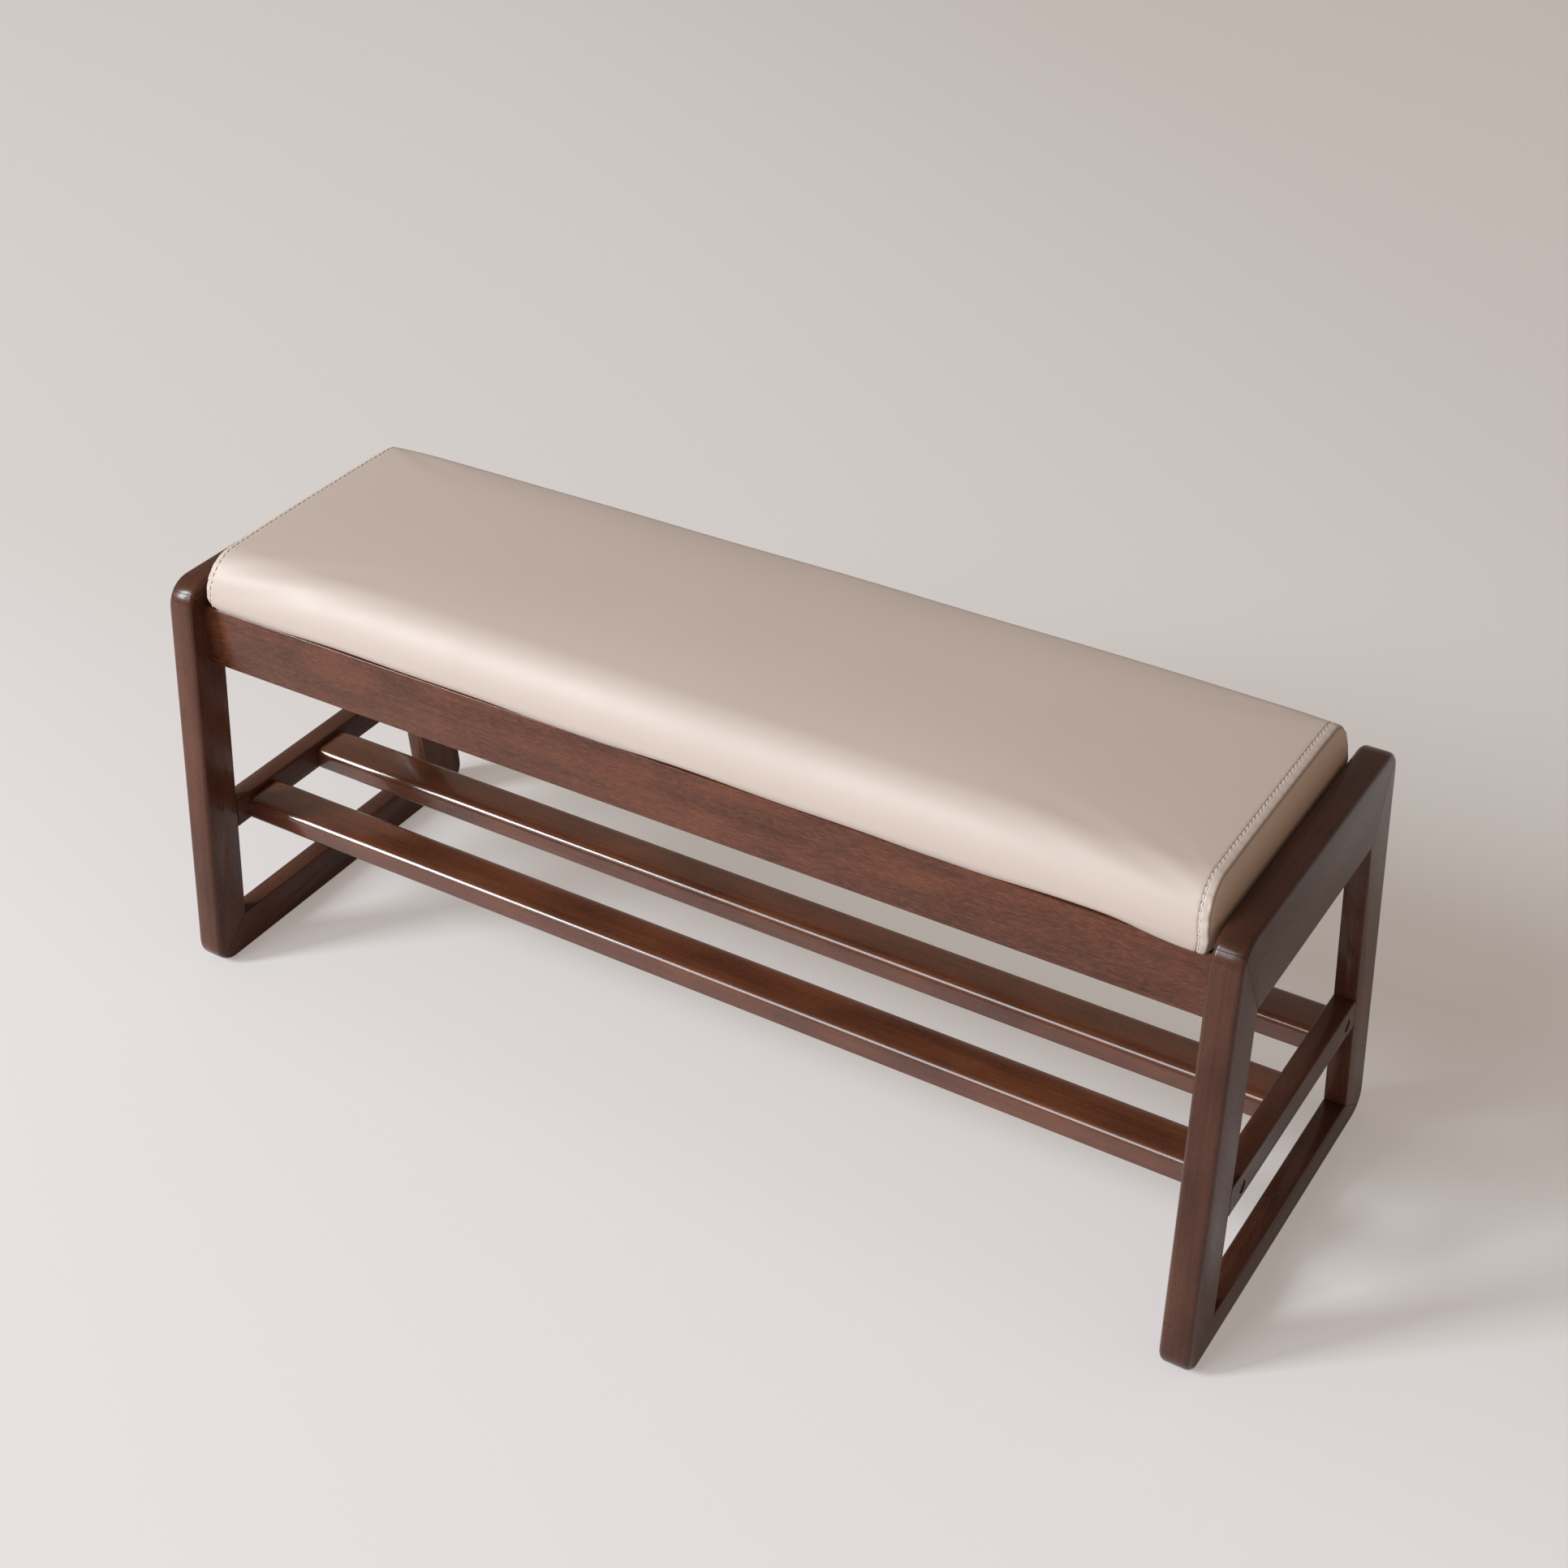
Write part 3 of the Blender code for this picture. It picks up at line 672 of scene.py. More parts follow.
class BENCH_OT_stain_wood(bpy.types.Operator):
    """Stains and lacquers the end frames, aprons and slats"""

    bl_idname = "bench.stain_wood"
    bl_label = "Stain the wood"

    def execute(self, context):
        wood = context.scene.bench_wood
        for node in nodes_in_slot("stained_wood"):
            put_on(node, stained_material(node, wood))
            ease_edges(node, wood.slat_round if node.endswith("_slat") else wood.edge_round)
            if node.endswith(("_leg", "_top_rail", "_bottom_rail")):
                even_mitres(node)
        return {"FINISHED"}


class BENCH_OT_finish_hidden_wood(bpy.types.Operator):
    """Leaves the bearers, dowels and seat board as raw wood"""

    bl_idname = "bench.finish_hidden_wood"
    bl_label = "Finish the hidden wood"

    def execute(self, context):
        for node in nodes_in_slot("plain_wood"):
            put_on(node, raw_material(node, context.scene.bench_wood))
            ease_edges(node, 0.0)
        return {"FINISHED"}


class BENCH_OT_blacken_bolts(bpy.types.Operator):
    """Blackens the hex socket bolts of the shelf"""

    bl_idname = "bench.blacken_bolts"
    bl_label = "Blacken the bolts"

    def execute(self, context):
        material, nodes, shader, _ = mottled_material(
            "blackened_steel", BOLT_COLOUR, BOLT_SHADE, amount=0.8, roughness=(0.30, 0.46), depth=0.00004)
        nodes.put(shader, Metallic=0.5)
        for node in nodes_in_slot("black_steel"):
            put_on(node, material)
            ease_edges(node, 0.0)
        return {"FINISHED"}


# Seat

# Grid steps across the seat, for the simulation and for the finished cover, and along its middle
COARSE_STEP = 0.006
FINE_STEP = 0.0022
STATION_STEP = 0.007
# Points up the tucked lower edge and around a roll
TUCK_POINTS = 9
ROLL_POINTS = 33
# Stations beyond the groove: how many stitch insets they reach, and how they spread out
BEYOND_REACH = 2.5
BEYOND_SPREAD = np.linspace(0.1, 1.0, 8) ** 1.5
# How late the crown falls away towards the ends, the front and the rear, and how much of it the ends lose
END_POWER = 6
FRONT_POWER = 2
REAR_POWER = 5
END_LOSS = 0.55
CLOTH = {
    "use_pressure": True,
    "tension_stiffness": 40.0,
    "compression_stiffness": 30.0,
    "shear_stiffness": 12.0,
    "bending_stiffness": 2.0,
    "air_damping": 4.0,
    "mass": 0.3,
}
# The end seam lies lower on the band beside it and, by a smaller part, on the cover further in
BAND_DROP = 0.85
COVER_DROP = 0.15
COVER_DROP_REACH = 0.02
# Part of the drop low on the left and right ends; it grows to all of it between two shares of the height
LOW_DROPS = (1.3, 0.45)
DROP_GROWTH = (0.45, 0.95)
VALLEY_REACH = 0.0022
GROOVE_WIDTH = 0.0013
# Gathers: lengths of their waves, phases on the left and right, spread, and strength on and off the rolls
GATHER_PITCHES = (0.0137, 0.0083, 0.0059)
GATHER_PHASES = (1.3, 2.1)
GATHER_SPREAD = 0.006
ROLL_SPREAD = 0.016
GATHER_BASE = 0.45
GATHER_GAIN = 1.8
# Share of the stitch inset at which the gathers are strongest
GATHER_PLACE = 0.6
# The dimple lies by a share of the roll below the shoulder, at a distance from the seam
DIMPLE_DROP = 0.3
DIMPLE_INSET = 0.004
DIMPLE_WIDTH = 0.003
# Slow unevenness of the filling, strongest along the rear: height, rate and phase of its waves
UNEVENNESS = 0.0005
UNEVEN_WAVES = ((1.0, 8.2, math.pi / 2 - 8.2 * 0.04), (0.35, 23.0, 0.7))
UNEVEN_BASE = 0.35
# The unevenness is strongest by a share of the roll inside the rear
REAR_PLACE = 0.6
REAR_SPREAD = 0.03
# Lower edge: reach of the drawn in corners, reach of the hanging ends and waves of the gap
CORNER_REACH = 0.035
DRAPE_REACHES = (0.10, 0.02)
GAP_WAVES = ((0.9, 17.0, 0.4), (0.6, 31.0, 1.1))
LEAST_GAP = 0.15
# Width of the painted shade line in the seam and along the topstitching groove, and strength of the second
SEAM_LINE = 0.0008
GROOVE_LINE = 0.0012
GROOVE_SHADE = 0.2
# Loops of an end panel: distance from the seam, and how far the padding pushes the panel out
PANEL_RINGS = ((0.0009, 0.0004), (0.0022, 0.0010), (0.006, 0.0019), (0.012, 0.0028), (0.018, 0.0034),
               (0.024, 0.0036))
# Loops nearer to the seam than this follow its drawn in corners
PANEL_EASE = 0.012
# The panel's loops draw together on a line at a share of the seat's height, short of its front and rear
SPINE_SHARE = 0.45
SPINE_INSET = 0.034
SPINE_NEAREST = 0.92
# Painted shade on the end panel's first loop beside the seam
PANEL_SHADE = 0.3
PANEL_EDGE_POINTS = 48
PANEL_EDGE_INSET = 0.005
# Underside: play around the board, and how far the turned lip lies inside the edge and past the apron
BOARD_PLAY = 0.0004
LIP_INSET = 0.0015
LIP_PAST_APRON = 0.0006
# Leatherette: strength of the painted seam shade, and scale, weight and depth of the pebbling
SEAM_STRENGTH = 0.85
PEBBLE_SCALE = 1050.0
PEBBLE_WEIGHT = 0.7
PEBBLE_DEPTH = 0.00006


class SeatForm:
    """The seat's plain form, measured from the solids that it stands for."""

    def __init__(self, seat):
        low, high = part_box("seat_cover_top")
        self.seat = seat
        self.half_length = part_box("seat_end_panel_right")[1].x
        self.half_depth = (high.y - low.y) / 2
        self.middle = (high.y + low.y) / 2
        self.floor = low.z
        self.height = high.z - low.z
        self.shoulder = self.height - seat.crown

    def half_section(self, reach, roll, tuck):
        """Points (distance from the middle, height) up one side, from its lower edge to its top."""
        rise = np.linspace(0.0, 1.0, TUCK_POINTS)
        low = np.stack([reach - tuck * (1 - rise) ** 2, self.seat.tuck_height * rise], axis=1)
        turn = np.linspace(0.0, math.pi / 2, ROLL_POINTS)
        high = np.stack([reach - roll * (1 - np.cos(turn)), self.shoulder - roll * (1 - np.sin(turn))],
                        axis=1)
        return np.concatenate([low, high])

    def section(self, step):
        """Points (y, height) at an even distance, from the lower front edge over the top to the rear."""
        seat = self.seat
        front = self.half_section(self.half_depth, seat.roll, seat.tuck) * (-1, 1)
        rear = self.half_section(self.half_depth - seat.rear_inset, seat.rear_roll, seat.rear_tuck)
        path = np.concatenate([front, [[0.0, self.shoulder]], rear[::-1]])
        lengths = np.concatenate([[0.0], np.cumsum(np.linalg.norm(np.diff(path, axis=0), axis=1))])
        count = 2 * round(lengths[-1] / step / 2) + 1
        places = np.linspace(0.0, lengths[-1], count)
        return np.stack([np.interp(places, lengths, path[:, axis]) for axis in (0, 1)], axis=1), places

    def crowned(self, stations, section):
        """Grid of points: stations along X, section points across, raised by the crown without its swell."""
        x = stations[:, None]
        y, height = section[None, :, 0], section[None, :, 1]
        to_end = np.abs(x / self.half_length) ** END_POWER
        to_side = np.abs(y / self.half_depth) ** np.where(y > 0, REAR_POWER, FRONT_POWER)
        lift = np.clip(height / self.shoulder, 0.0, 1.0)
        crown = (self.seat.crown - self.seat.swell) * (1 - END_LOSS * to_end)
        crown = crown * np.clip(1 - to_side, 0.0, None)
        to_rear = smoothstep(0.0, 1.0, y / self.half_depth)
        bulge = self.seat.rear_bulge * (1 - to_end) * to_rear * lift
        leaned = x * (1 - self.seat.lean / self.half_length * height / self.shoulder)
        return np.stack([leaned, self.middle + y + bulge, self.floor + height + crown * lift], axis=2)

    def end_plane(self, z):
        """How far out along X an end panel lies at a height."""
        return self.half_length - self.seat.lean * (z - self.floor) / self.shoulder


def grid_faces(rows, columns):
    """Quads of a grid whose points run row by row."""
    return [(r * columns + c, r * columns + c + 1, (r + 1) * columns + c + 1, (r + 1) * columns + c)
            for r in range(rows - 1) for c in range(columns - 1)]


def filled(grid, seat):
    """How far each point of the cover moves when the filling presses it out, by cloth simulation."""
    rows, columns = grid.shape[:2]
    cloth = mesh_object("cover_cloth", grid.reshape(-1, 3), grid_faces(rows, columns))
    held = cloth.vertex_groups.new(name="sewn")
    edge = [r * columns + c for r in range(rows) for c in range(columns)
            if r in (0, rows - 1) or c in (0, columns - 1)]
    held.add(edge, 1.0, "REPLACE")
    modifier = cloth.modifiers.new("filling", "CLOTH")
    for name, value in CLOTH.items():
        setattr(modifier.settings, name, value)
    modifier.settings.vertex_group_mass = held.name
    modifier.settings.uniform_pressure_force = -seat.pressure
    modifier.settings.effector_weights.gravity = 0.0
    modifier.collision_settings.use_collision = False
    modifier.collision_settings.use_self_collision = False
    modifier.point_cache.frame_end = seat.sim_frames
    scene = bpy.context.scene
    for number in range(1, seat.sim_frames + 1):
        scene.frame_set(number)
    shaped = cloth.evaluated_get(bpy.context.evaluated_depsgraph_get()).to_mesh()
    points = np.empty(len(shaped.vertices) * 3)
    shaped.vertices.foreach_get("co", points)
    scene.frame_set(1)
    bpy.data.objects.remove(cloth, do_unlink=True)
    return points.reshape(grid.shape) - grid


def seat_stations(form):
    """Places along X, close together at the end seams and the topstitching."""
    inset, half = form.seat.stitch_inset, form.half_length
    reach = inset / 6
    over_seam = np.linspace(0.0, 2 * reach, 6)
    to_groove = np.linspace(2 * reach, inset - reach, 5)
    over_groove = np.linspace(inset - reach, inset + reach, 9)
    beyond = inset + reach + BEYOND_REACH * inset * BEYOND_SPREAD
    near = np.unique(np.concatenate([over_seam, to_groove, over_groove, beyond]).round(7))
    count = math.ceil(2 * (half - near[-1]) / STATION_STEP)
    middle = np.linspace(near[-1] - half, half - near[-1], count + 1)[1:-1]
    return np.concatenate([near - half, middle, half - near[::-1]])


def outward(grid):
    """Unit normals of the seat's grid."""
    normal = np.cross(np.gradient(grid, axis=0), np.gradient(grid, axis=1))
    return normal / np.linalg.norm(normal, axis=2, keepdims=True)


def gathers(places, form, phase):
    """Uneven gathers along a seam, stronger where the cover turns the front and rear rolls."""
    wave = sum(np.sin(2 * math.pi * places / pitch + phase * k) / k
               for k, pitch in enumerate(GATHER_PITCHES, start=1))
    turn = form.shoulder - form.seat.roll / 2
    on_rolls = bell(places, turn, ROLL_SPREAD) + bell(places[-1] - places, turn, ROLL_SPREAD)
    return wave * (GATHER_BASE + GATHER_GAIN * on_rolls)


def seam_relief(stations, section, places, form):
    """How far seams, topstitching, gathers and uneven filling move the cover's points outwards."""
    seat = form.seat
    from_seam = (form.half_length - np.abs(stations))[:, None]
    at_left = (stations < 0)[:, None]
    slope = BAND_DROP * fade(from_seam, seat.stitch_inset)
    slope = slope + COVER_DROP * np.exp(-from_seam / COVER_DROP_REACH)
    low_drop = np.where(at_left, *LOW_DROPS)
    upwards = smoothstep(*DROP_GROWTH, section[None, :, 1] / form.shoulder)
    end_drop = np.where(at_left, seat.left_drop, seat.right_drop) * (low_drop + (1 - low_drop) * upwards)
    valley = seat.seam_depth * fade(from_seam, VALLEY_REACH) ** 2
    groove = seat.groove_depth * bell(from_seam, seat.stitch_inset, GROOVE_WIDTH)
    dimple = seat.dimple * bell(places[None, :], form.shoulder - DIMPLE_DROP * seat.roll, DIMPLE_WIDTH)
    dimple = dimple * bell(from_seam, DIMPLE_INSET, DIMPLE_WIDTH)
    band = seat.band_rise * np.sin(math.pi * np.clip(from_seam / seat.stitch_inset, 0, 1))
    left, right = [gathers(places, form, phase)[None, :] for phase in GATHER_PHASES]
    gather = np.where(at_left, left, right)
    gather = gather * bell(from_seam, GATHER_PLACE * seat.stitch_inset, GATHER_SPREAD)
    rear = bell(section[None, :, 0], form.half_depth - REAR_PLACE * seat.roll, REAR_SPREAD)
    uneven = UNEVENNESS * waves(stations, UNEVEN_WAVES)[:, None] * (UNEVEN_BASE + rear)
    return band + seat.pucker * gather + uneven - end_drop * slope - valley - groove - dimple


def drape_edge(shaped, stations, section, form):
    """Draws the lower corners in and lets the lower edge hang unevenly over the aprons."""
    seat, half = form.seat, form.half_length
    height = section[None, :, 1]
    from_middle = np.abs(stations)[:, None]
    near_edge = fade(height, seat.corner_height) ** 2
    to_end = smoothstep(half - CORNER_REACH, half, from_middle)
    shaped[..., 0] -= np.sign(stations)[:, None] * seat.corner_pull * to_end * near_edge
    drape = smoothstep(*(half - reach for reach in DRAPE_REACHES), from_middle)
    right_front = drape * (stations >= 0)[:, None] * (section[None, :, 0] < 0)
    gap = seat.front_lift * np.clip(1 + waves(stations, GAP_WAVES), LEAST_GAP, None)[:, None]
    shaped[..., 2] += near_edge * (gap * (1 - drape) - seat.front_dip * right_front)
    tucked = fade(height, seat.tuck_height) ** 2
    shaped[..., 1] -= (seat.tuck - seat.end_tuck) * tucked * right_front


def painted_seam_shade(stations, columns, form):
    """Painted shade: how dark the cover is in the seams and along the topstitching, where shade falls."""
    from_seam = form.half_length - np.abs(stations)
    shade = bell(from_seam, 0.0, SEAM_LINE)
    shade = shade + GROOVE_SHADE * bell(from_seam, form.seat.stitch_inset, GROOVE_LINE)
    return np.repeat(np.clip(shade, 0, 1), columns)


def end_panel_rings(rim, side, form):
    """Loops from the seam inwards that fill one end of the seat with a slightly full panel."""
    reach = form.half_depth - SPINE_INSET
    spine = np.zeros_like(rim)
    spine[:, 1] = form.middle + np.clip(rim[:, 1] - form.middle, -reach, reach)
    spine[:, 2] = form.floor + SPINE_SHARE * form.height
    away = np.linalg.norm((spine - rim)[:, 1:], axis=1)
    drawn_in = form.end_plane(rim[:, 2]) - np.abs(rim[:, 0])
    loops = []
    for inwards, fullness in PANEL_RINGS:
        part = np.minimum(inwards / np.maximum(away, SAME_POINT), SPINE_NEAREST)[:, None]
        loop = rim + (spine - rim) * part
        eased = drawn_in * fade(inwards, PANEL_EASE)
        loop[:, 0] = side * (form.end_plane(loop[:, 2]) + fullness - eased)
        loops.append(loop)
    return loops


def seat_underside(outer, form):
    """Loops that turn the cover's lower edge under and leave a recess for the board."""
    board_low, board_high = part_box("seat_board")
    lip_end = form.half_length - form.seat.corner_pull - LIP_INSET
    lip_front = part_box("front_apron")[0].y - LIP_PAST_APRON
    lip_rear = form.middle + form.half_depth - form.seat.tuck - LIP_INSET
    lip = ((-lip_end, lip_front), (lip_end, lip_rear))
    board = (np.array(board_low[:2]) - BOARD_PLAY, np.array(board_high[:2]) + BOARD_PLAY)
    level = form.floor + BOARD_PLAY

    def drawn(corners, z):
        loop = outer.copy()
        loop[:, :2] = np.clip(outer[:, :2], *corners)
        loop[:, 2] = z
        return loop

    return [drawn(lip, outer[:, 2]), drawn(lip, np.maximum(level, outer[:, 2])), drawn(board, level),
            drawn(board, board_high.z + BOARD_PLAY)]


class Shell:
    """Collects the points, faces and seam shade of the closed seat."""

    def __init__(self, grid, shade):
        self.rows, self.columns = grid.shape[:2]
        self.points = [tuple(point) for point in grid.reshape(-1, 3)]
        self.faces = grid_faces(self.rows, self.columns)
        self.shade = list(shade)
        self.panel = [0.0] * len(self.points)

    def add(self, loop, shade=0.0, panel=0.0):
        """Adds a loop of points and gives their numbers."""
        start = len(self.points)
        self.points += [tuple(point) for point in loop]
        self.shade += [shade] * len(loop)
        self.panel += [panel] * len(loop)
        return list(range(start, start + len(loop)))

    def bridge(self, first, second):
        """Joins two loops of as many points with faces."""
        for k in range(len(first)):
            after = (k + 1) % len(first)
            self.faces.append((first[k], first[after], second[after], second[k]))

    def places(self, numbers):
        return np.array([self.points[k] for k in numbers])

    def edge_line(self, start, end):
        """Points of an end panel's lower edge between two corners, kept clear of the aprons' tops."""
        first, last = self.places((start, end))
        along = np.linspace(0.0, 1.0, PANEL_EDGE_POINTS)
        along[0], along[-1] = PANEL_EDGE_INSET, 1 - PANEL_EDGE_INSET
        line = first + (last - first) * along[:, None]
        line[:, 2] = max(first[2], last[2])
        return self.add(line)


def build_cushion(form, grid, shade):
    """The closed seat: the cover's grid, its two end panels and its underside."""
    shell = Shell(grid, shade)
    rows, columns = shell.rows, shell.columns
    lower = {}
    for label, side in SIDES:
        start = 0 if side < 0 else (rows - 1) * columns
        seam = list(range(start, start + columns))
        lower[label] = shell.edge_line(seam[-1], seam[0])
        rim = seam + lower[label]
        for number, loop in enumerate(end_panel_rings(shell.places(rim), side, form)):
            ring = shell.add(loop, shade=0.0 if number else PANEL_SHADE, panel=1.0)
            shell.bridge(rim, ring)
            rim = ring
        shell.faces.append(tuple(rim))

    front = [row * columns for row in range(rows)]
    rear = [row * columns + columns - 1 for row in range(rows)]
    edge = front + lower["right"][::-1] + rear[::-1] + lower["left"]
    for loop in seat_underside(shell.places(edge), form):
        ring = shell.add(loop)
        shell.bridge(edge, ring)
        edge = ring
    shell.faces.append(tuple(edge))

    cushion = mesh_object(CUSHION, shell.points, shell.faces)
    for name, values in (("painted_seam_shade", shell.shade), ("end_panel", shell.panel)):
        cushion.data.attributes.new(name, "FLOAT", "POINT").data.foreach_set("value", values)
    return cushion


# Attribute that numbers each row of the topstitching, and how far it lies inside the groove's middle
STITCH_ROWS = {"thread_row": -0.0006, "dent_row": 0.0007}


def mark_stitch_rows(cushion, stations, columns, form):
    """Numbers the points that each row follows: from 1 on the left, from -1 on the right."""
    for name, inside in STITCH_ROWS.items():
        marks = np.zeros(len(cushion.data.vertices), dtype=np.int32)
        from_middle = form.half_length - form.seat.stitch_inset - inside
        for _, side in SIDES:
            row = int(np.argmin(np.abs(stations - side * from_middle)))
            marks[row * columns:(row + 1) * columns] = -side * np.arange(1, columns + 1)
        cushion.data.attributes.new(name, "INT", "POINT").data.foreach_set("value", marks)


def close_up(item):
    """Merges doubled points, turns the faces outwards and shades them smooth."""
    bm = bmesh.new()
    bm.from_mesh(item.data)
    bmesh.ops.remove_doubles(bm, verts=bm.verts, dist=SAME_POINT)
    bmesh.ops.recalc_face_normals(bm, faces=bm.faces)
    bm.to_mesh(item.data)
    bm.free()
    item.data.shade_smooth()


def leather_material(seat):
    """Smooth leatherette: fine pebbling, faint mottling, painted shade in the seams and warm painted shade on
    the end panels.
    """
    material, nodes, shader, tone = mottled_material(
        "leatherette_cover", seat.leather, darker(seat.leather, 0.93), amount=0.5, roughness=(0.53, 0.60))
    seam, panel = [nodes.add("ShaderNodeAttribute", {"attribute_name": name}).outputs["Fac"]
                   for name in ("painted_seam_shade", "end_panel")]
    # Painted shade: a warmer tint on the end panels stands in for their warm shade
    cover = nodes.mix(panel, tone["Color"], seat.end_panel_shade_tint)
    # Painted shade: the seams and the topstitching groove are painted darker
    colour = nodes.mix(nodes.math("MULTIPLY", seam, SEAM_STRENGTH), cover, seat.painted_seam_shade_colour)
    nodes.put(shader, Base_Color=colour, Specular_IOR_Level=0.70, Sheen_Weight=0.06, Sheen_Roughness=0.5)
    pebbles = nodes.add("ShaderNodeTexVoronoi", {"feature": "SMOOTH_F1"}, Vector=nodes.place(),
                        Scale=PEBBLE_SCALE)
    pebbles = nodes.math("MULTIPLY", pebbles.outputs["Distance"], PEBBLE_WEIGHT)
    add_bump(nodes, shader, nodes.math("ADD", pebbles, tone["Tooth"]), PEBBLE_DEPTH)
    return material


class BENCH_OT_upholster_seat(bpy.types.Operator):
    """Stuffs the seat by cloth simulation and sews its end seams"""

    bl_idname = "bench.upholster_seat"
    bl_label = "Upholster the seat"

    def execute(self, context):
        seat = context.scene.bench_seat
        form = SeatForm(seat)
        half = form.half_length
        coarse_section, coarse_places = form.section(COARSE_STEP)
        coarse_count = round(2 * half / COARSE_STEP) + 1
        coarse = form.crowned(np.linspace(-half, half, coarse_count), coarse_section)
        moved = filled(coarse, seat)
        moved *= seat.swell / np.abs(moved[..., 2]).max()

        section, places = form.section(FINE_STEP)
        stations = seat_stations(form)
        grid = form.crowned(stations, section)
        rows = (stations + half) / (2 * half) * (coarse_count - 1)
        columns = places / places[-1] * (len(coarse_places) - 1)
        grid += cubic_at(cubic_at(moved, rows).swapaxes(0, 1), columns).swapaxes(0, 1)
        grid += outward(grid) * seam_relief(stations, section, places, form)[..., None]
        drape_edge(grid, stations, section, form)
        cushion = build_cushion(form, grid, painted_seam_shade(stations, len(section), form))
        mark_stitch_rows(cushion, stations, len(section), form)
        close_up(cushion)
        cushion.data.materials.append(leather_material(seat))
        dress(cushion)
        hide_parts(*COVER_NODES)
        return {"FINISHED"}


# Topstitching

# How far the thread lies above the cover, and how far a dent slants for each length along its row
THREAD_RISE = 0.0003
DENT_SLANT = 0.55
# Points at each end of a row that are left without stitches
ROW_END_POINTS = 3


@built_once
def stitch_row(name):
    """Beads at an even pitch along a path, each turned with the path and slanted across it."""
    nodes, given, result = geometry_tree(name, {"Pitch": "Float", "Length": "Float", "Width": "Float",
                                                "Slant": "Float", "Finish": "Material"})
    path = nodes.add("GeometryNodeMeshToCurve", Mesh=given["Geometry"]).outputs["Curve"]
    spaced = nodes.add("GeometryNodeResampleCurve", {"mode": "LENGTH"}, Curve=path, Length=given["Pitch"])
    along = nodes.add("GeometryNodeInputTangent").outputs["Tangent"]
    across = nodes.add("ShaderNodeCombineXYZ", X=given["Slant"]).outputs[0]
    turn = nodes.add("FunctionNodeAlignRotationToVector", {"axis": "X"},
                     Vector=nodes.vector("ADD", along, across))
    spans = nodes.add("ShaderNodeCombineXYZ", X=given["Length"], Y=given["Width"], Z=given["Width"])
    bead = nodes.add("GeometryNodeMeshUVSphere", Segments=8, Rings=6, Radius=0.5)
    placed = nodes.add("GeometryNodeInstanceOnPoints", Points=spaced.outputs["Curve"],
                       Instance=bead.outputs["Mesh"], Rotation=turn.outputs["Rotation"],
                       Scale=spans.outputs[0])
    smooth = nodes.add("GeometryNodeSetShadeSmooth", Geometry=placed.outputs["Instances"])
    real = nodes.add("GeometryNodeRealizeInstances", Geometry=smooth.outputs["Geometry"])
    finished = nodes.add("GeometryNodeSetMaterial", Geometry=real.outputs["Geometry"],
                         Material=given["Finish"])
    nodes.put(result, Geometry=finished.outputs["Geometry"])
    return nodes.tree


def stitch_path(cushion, row, sign, rise):
    """Points of one marked row, raised a little from the cover."""
    vertices = cushion.data.vertices
    marks = np.zeros(len(vertices), dtype=np.int32)
    cushion.data.attributes[row].data.foreach_get("value", marks)
    order = [k for k in np.argsort(np.abs(marks)) if marks[k] * sign > 0]
    return [vertices[k].co + vertices[k].normal * rise for k in order[ROW_END_POINTS:-ROW_END_POINTS]]


def sew_row(name, points, values):
    """One row of stitches or of dark painted-shade dents along points, as a plain mesh."""
    line = mesh_object(f"{name}_line", points, (), [(k, k + 1) for k in range(len(points) - 1)])
    add_tree(line, stitch_row(), values)
    graph = bpy.context.evaluated_depsgraph_get()
    mesh = bpy.data.meshes.new_from_object(line.evaluated_get(graph), depsgraph=graph)
    bpy.data.objects.remove(line, do_unlink=True)
    mesh.name = name
    dress(add_object(name, mesh))


class BENCH_OT_topstitch_seat(bpy.types.Operator):
    """Runs a row of topstitching with its dents, dark as painted shade, beside each end seam of the seat"""

    bl_idname = "bench.topstitch_seat"
    bl_label = "Topstitch the seat"

    def execute(self, context):
        seat = context.scene.bench_seat
        cushion = bpy.data.objects[CUSHION]
        thread = mottled_material("topstitch_thread", seat.thread, darker(seat.thread, 0.85), amount=0.6,
                                  roughness=(0.6, 0.6), depth=0.0001)[0]
        # Painted shade: the dents are dark to stand in for the shade in the needle holes
        dent_shade = mottled_material("stitch_dent", seat.dent_shade, darker(seat.dent_shade, 0.7), amount=0.8,
                                roughness=(0.8, 0.8))[0]
        for label, side in SIDES:
            sew_row(f"{label}_topstitch", stitch_path(cushion, "thread_row", -side, THREAD_RISE),
                    {"Pitch": seat.stitch_pitch, "Length": seat.stitch_length, "Width": seat.thread_width,
                     "Slant": 0.0, "Finish": thread})
            sew_row(f"{label}_stitch_dents", stitch_path(cushion, "dent_row", -side, 0.0),
                    {"Pitch": seat.stitch_pitch, "Length": seat.mark_length, "Width": seat.mark_width,
                     "Slant": DENT_SLANT * side, "Finish": dent_shade})
        return {"FINISHED"}


# Stage

# The floor's tone darkens between these places as a painted falloff of light: across the bench's depth, and
# slanting away behind it
NEAR_FLOOR = (-0.3, 0.4)
FAR_FLOOR = (0.6, 2.2)
FAR_FLOOR_SLANT = 0.8
GLOW_STRENGTH = 0.96
SOFTBOX_AIM = Vector((0.0, 0.0, 0.3))
# How far up the surroundings stop changing
SKY_TOP = 0.8
# The camera, fitted to the photograph in its own pixels
CAMERA_PLACE = (1.1079, -1.6946, 1.7056)
CAMERA_TARGET = (-0.1521, 0.3060, 0.2500)
CAMERA_ROLL = math.radians(0.929)
FRAME_PIXELS = 1932
FOCAL_PIXELS = 3122.0
HORIZON_ROW = 800
SENSOR = 36.0
CAMERA_REACH = 100.0


